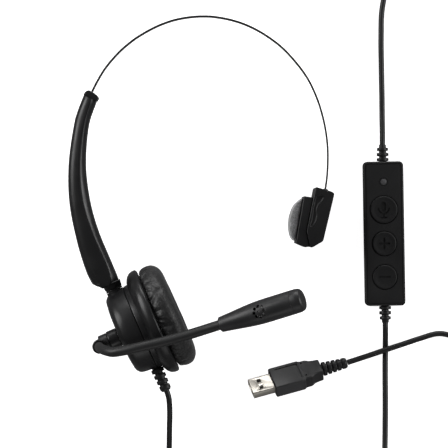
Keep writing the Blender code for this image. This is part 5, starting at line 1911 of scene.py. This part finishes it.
@dataclass
class UsbPlug:
    """The plug: a folded nickel shell round its contact carrier, a stepped overmould and a ribbed relief."""

    shell_size: POINT = (12.0, 4.5)
    shell_length: float = 12.0
    sheet: float = 0.4
    frame: Frame = field(default_factory=lambda: Frame.at(
        (37.9, -133.2, 10.65), Vector((0.0, 0.74, 0.67)).cross(Vector((-0.954, -0.256, 0.156)).normalized()),
        (-0.954, -0.256, 0.156), TABLE))

    def build(self, finishes: Finishes) -> list[PIECE]:
        """Models and seats every piece of the plug.

        Returns:
            The pieces, which go with the cord.
        """
        half_x, half_y = self.shell_size[0] / 2, self.shell_size[1] / 2
        shell = prism("usb_plug_shell", rounded_rectangle(*self.shell_size, 0.75, 5), -6.0, self.shell_length)
        hollow = prism("shell_hollow", rounded_rectangle(self.shell_size[0] - 2 * self.sheet,
                                                         self.shell_size[1] - 2 * self.sheet, 0.4, 4),
                       -8.0, 16.0)
        cut(shell, hollow)
        windows = [block("shell_window", (x - 1.2, -4.0, 5.4), (x + 1.2, 4.0, 7.6)) for x in (-2.6, 2.6)]
        windows.append(block("shell_seam", (-0.07, -4.0, -7.0), (0.07, -1.2, 13.0)))
        cut(shell, *windows)
        bevel(shell, 0.08, 2, 50.0)
        seat(shell, self.frame, Body.CUP, finishes[Slot.NICKEL], Slot.NICKEL, ["usb_shell"])

        tongue = block("usb_contact_carrier", (-5.25, -1.5, -5.6), (5.25, 0.0, 11.3))
        bevel(tongue, 0.2, 2)
        seat(tongue, self.frame, Body.CUP, finishes[Slot.WHITE], Slot.WHITE, ["usb_tongue"])
        contacts = group("usb_contact_strips", [
            bevel(block(f"contact_{i}", (x - 0.5, 0.02, 1.0), (x + 0.5, 0.22, 10.4)), 0.06, 2)
            for i, x in enumerate((-3.5, -1.0, 1.0, 3.5))])
        seat(contacts, self.frame, Body.CUP, finishes[Slot.NICKEL], Slot.NICKEL)

        flat = Frame.at((0, 0, 0), (1, 0, 0), (0, -1, 0), self.frame)
        edge = [(7.5, -0.3), (8.0, -0.9), (8.0, -17.0), (7.75, -17.5), (7.0, -17.9), (6.95, -21.4),
                (6.6, -22.2), (5.6, -23.6), (5.1, -26.0), (4.8, -29.0)]
        overmold = prism("usb_plug_overmould", edge + [(-x, z) for x, z in reversed(edge)], -4.0, 4.0)
        bevel(overmold, 1.1, 5, 40.0)
        marks = [block("mark_side", (-5.9, -16.3, -5.0), (-5.15, -3.6, -3.1)),
                 block("mark_end", (-5.9, -16.8, -5.0), (5.2, -16.05, -3.1))]
        dots = [move(bore("mark_dot", 0.55, -5.0, -3.1, 20), Frame.at((x, -19.0, 0.0))) for x in (-5.0, 4.6)]
        cut(overmold, fuse(*marks), *dots,
            block("socket", (-half_x - 0.2, -6.4, -half_y - 0.2), (half_x + 0.2, 2.0, half_y + 0.2)))
        seat(overmold, flat, Body.CUP, finishes[Slot.DARK_GREY], Slot.DARK_GREY, ["usb_overmold"])

        tail = Frame.at((0.0, 0.0, -29.3), (1, 0, 0), (0, 0, -1), self.frame)
        relief = Relief(3.9, 3.1, 2.55, 0.6, 14.6, 5).model("usb_plug_strain_relief", 0.0)
        seat(relief, tail, Body.CUP, finishes[Slot.CORD], Slot.CORD, ["usb_strain_relief"])
        return [shell, tongue, contacts, overmold, relief]


# ---------------------------------------------------------------- carried-over pieces


CARRIED = {
    Slot.BARE_STEEL: (
        "speaker_frame", "speaker_magnet", "cup_screw_1", "cup_screw_2", "cup_screw_3", "arm_detent_spring",
        "arm_screw", "swivel_pin", "band_end_stop", "tbar_hinge_pin", "tbar_screw_1", "tbar_screw_2",
        "boom_pivot_screw", "mic_capsule", "remote_screw_top", "remote_screw_bottom",
    ),
    Slot.FILM: ("speaker_diaphragm",),
    Slot.REMOTE_BLACK: ("cushion_retainer",),
    Slot.BOARD: ("terminal_board", "remote_board"),
    Slot.BOOM: ("boom_friction_washer",),
}


def dress_carried(nodes: dict[str, PIECE], finishes: Finishes) -> None:
    """Gives the CAD nodes that stay as they are their finishes.

    Args:
        nodes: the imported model's nodes by name.
        finishes: the headset's materials.
    """
    for slot, names in CARRIED.items():
        for name in names:
            node = nodes[name]
            node.data.materials.clear()
            node.data.materials.append(finishes[slot])
            LOG.info("%s stays, %s", name, slot.value)


# ---------------------------------------------------------------- studio


@dataclass(frozen=True)
class Softbox:
    """A rectangular light aimed at the headset."""

    name: str
    place: SPOT
    size: POINT
    power: float

    def build(self, target: Vector) -> None:
        """Hangs the light.

        Args:
            target: the point that it faces, in metres.
        """
        lamp = bpy.data.lights.new(self.name, "AREA")
        lamp.shape = "RECTANGLE"
        lamp.size, lamp.size_y = self.size
        lamp.energy = self.power
        holder = bpy.data.objects.new(self.name, lamp)
        holder.location = self.place
        holder.rotation_euler = (target - Vector(self.place)).to_track_quat("-Z", "Y").to_euler()
        bpy.context.scene.collection.objects.link(holder)


@dataclass
class Studio:
    """The pale table, the soft lights and the camera straight above."""

    camera_place: SPOT = (0.012975, -0.010985, 2.03)
    field_width: float = 0.2464
    field_height: float = 0.030
    lights: tuple[Softbox, ...] = (
        Softbox("left_softbox", (-1.3, 0.5, 0.75), (1.0, 0.8), 16.0),
        Softbox("right_softbox", (1.4, 0.2, 0.7), (1.0, 0.7), 13.0),
        Softbox("back_softbox", (0.0, 1.7, 0.42), (1.8, 0.7), 20.0),
        Softbox("front_softbox", (0.3, -1.4, 0.7), (1.2, 0.5), 2.5),
    )

    def build(self) -> None:
        """Sets up the view, the world, the floor, the lights and the camera."""
        scene = bpy.context.scene
        scene.view_settings.view_transform = "Standard"
        world = bpy.data.worlds.new("studio")
        world.use_nodes = True
        backdrop = world.node_tree.nodes["Background"]
        backdrop.inputs["Color"].default_value = (1.0, 1.0, 1.0, 1.0)
        backdrop.inputs["Strength"].default_value = 0.14
        scene.world = world
        self.build_floor()
        for light in self.lights:
            light.build(Vector((0.0, 0.0, 0.02)))
        camera = bpy.data.cameras.new("camera")
        camera.sensor_width = 36.0
        distance = self.camera_place[2] - self.field_height
        camera.lens = camera.sensor_width * distance / self.field_width
        camera.clip_end = 20.0
        holder = bpy.data.objects.new("camera", camera)
        holder.location = self.camera_place
        scene.collection.objects.link(holder)
        scene.camera = holder

    def build_floor(self) -> None:
        """A wide table top with a faint mottle."""
        deselect()
        bpy.ops.mesh.primitive_plane_add(size=8.0, location=(0.0, 0.0, -0.0004))
        floor = bpy.context.object
        floor.name = "table_top"
        material, nodes, links = new_material("pale_table")
        mottle = nodes.new("NodeFrame")
        mottle.label = "Colour: faint mottle"
        place = nodes.new("ShaderNodeTexCoord")
        place.label = "Place on the table"
        cloud = nodes.new("ShaderNodeTexNoise")
        cloud.label = "Faint mottle"
        cloud.parent = mottle
        cloud.inputs["Scale"].default_value = 3.0
        tone = nodes.new("ShaderNodeValToRGB")
        tone.label = "Near white"
        tone.parent = mottle
        tone.color_ramp.elements[0].color = (0.90, 0.90, 0.90, 1.0)
        tone.color_ramp.elements[1].color = (0.93, 0.93, 0.93, 1.0)
        shader = nodes.new("ShaderNodeBsdfPrincipled")
        shader.label = "Matt paper"
        shader.inputs["Roughness"].default_value = 0.9
        shader.inputs["Specular IOR Level"].default_value = 0.1
        shader.inputs["Emission Color"].default_value = (1.0, 1.0, 1.0, 1.0)
        shader.inputs["Emission Strength"].default_value = 0.85
        output = nodes.new("ShaderNodeOutputMaterial")
        output.label = "Surface"
        for node, spot in zip((place, cloud, tone, shader, output),
                              ((-900, 0), (-680, 0), (-460, 0), (-160, 0), (140, 0))):
            node.location = spot
        links.new(place.outputs["Object"], cloud.inputs["Vector"])
        links.new(cloud.outputs["Fac"], tone.inputs["Fac"])
        links.new(tone.outputs["Color"], shader.inputs["Base Color"])
        links.new(shader.outputs["BSDF"], output.inputs["Surface"])
        floor.data.materials.append(material)
        floor.visible_glossy = False


def main() -> None:
    """Loads the frame, builds every sub-assembly on it and sets up the studio."""
    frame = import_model()
    deselect()
    Studio().build()
    finishes = Finishes()
    plug_pieces = UsbPlug().build(finishes)
    Cord("headset_cord", CUP_CORD_FALL, CUP_COIL, CUP_CORD_RUN, "object",
         ("cord_cup_fall", "cord_cup_coil", "cord_cup_run")).build(finishes, [])
    Cord("usb_cord", USB_CORD_DROP, USB_COIL, USB_CORD_RUN, "plug",
         ("cord_usb_drop", "cord_usb_coil", "cord_usb_run")).build(finishes, plug_pieces)
    EarCup().build(finishes)
    arm = Arm()
    arm.build(finishes)
    HeadBand(arm).build(finishes)
    TBar().build(finishes)
    Boom().build(finishes)
    Remote().build(finishes)
    dress_carried(frame["nodes"], finishes)
    deselect()


if __name__ == "__main__":
    logging.basicConfig(level=logging.INFO, format="%(message)s")
    main()
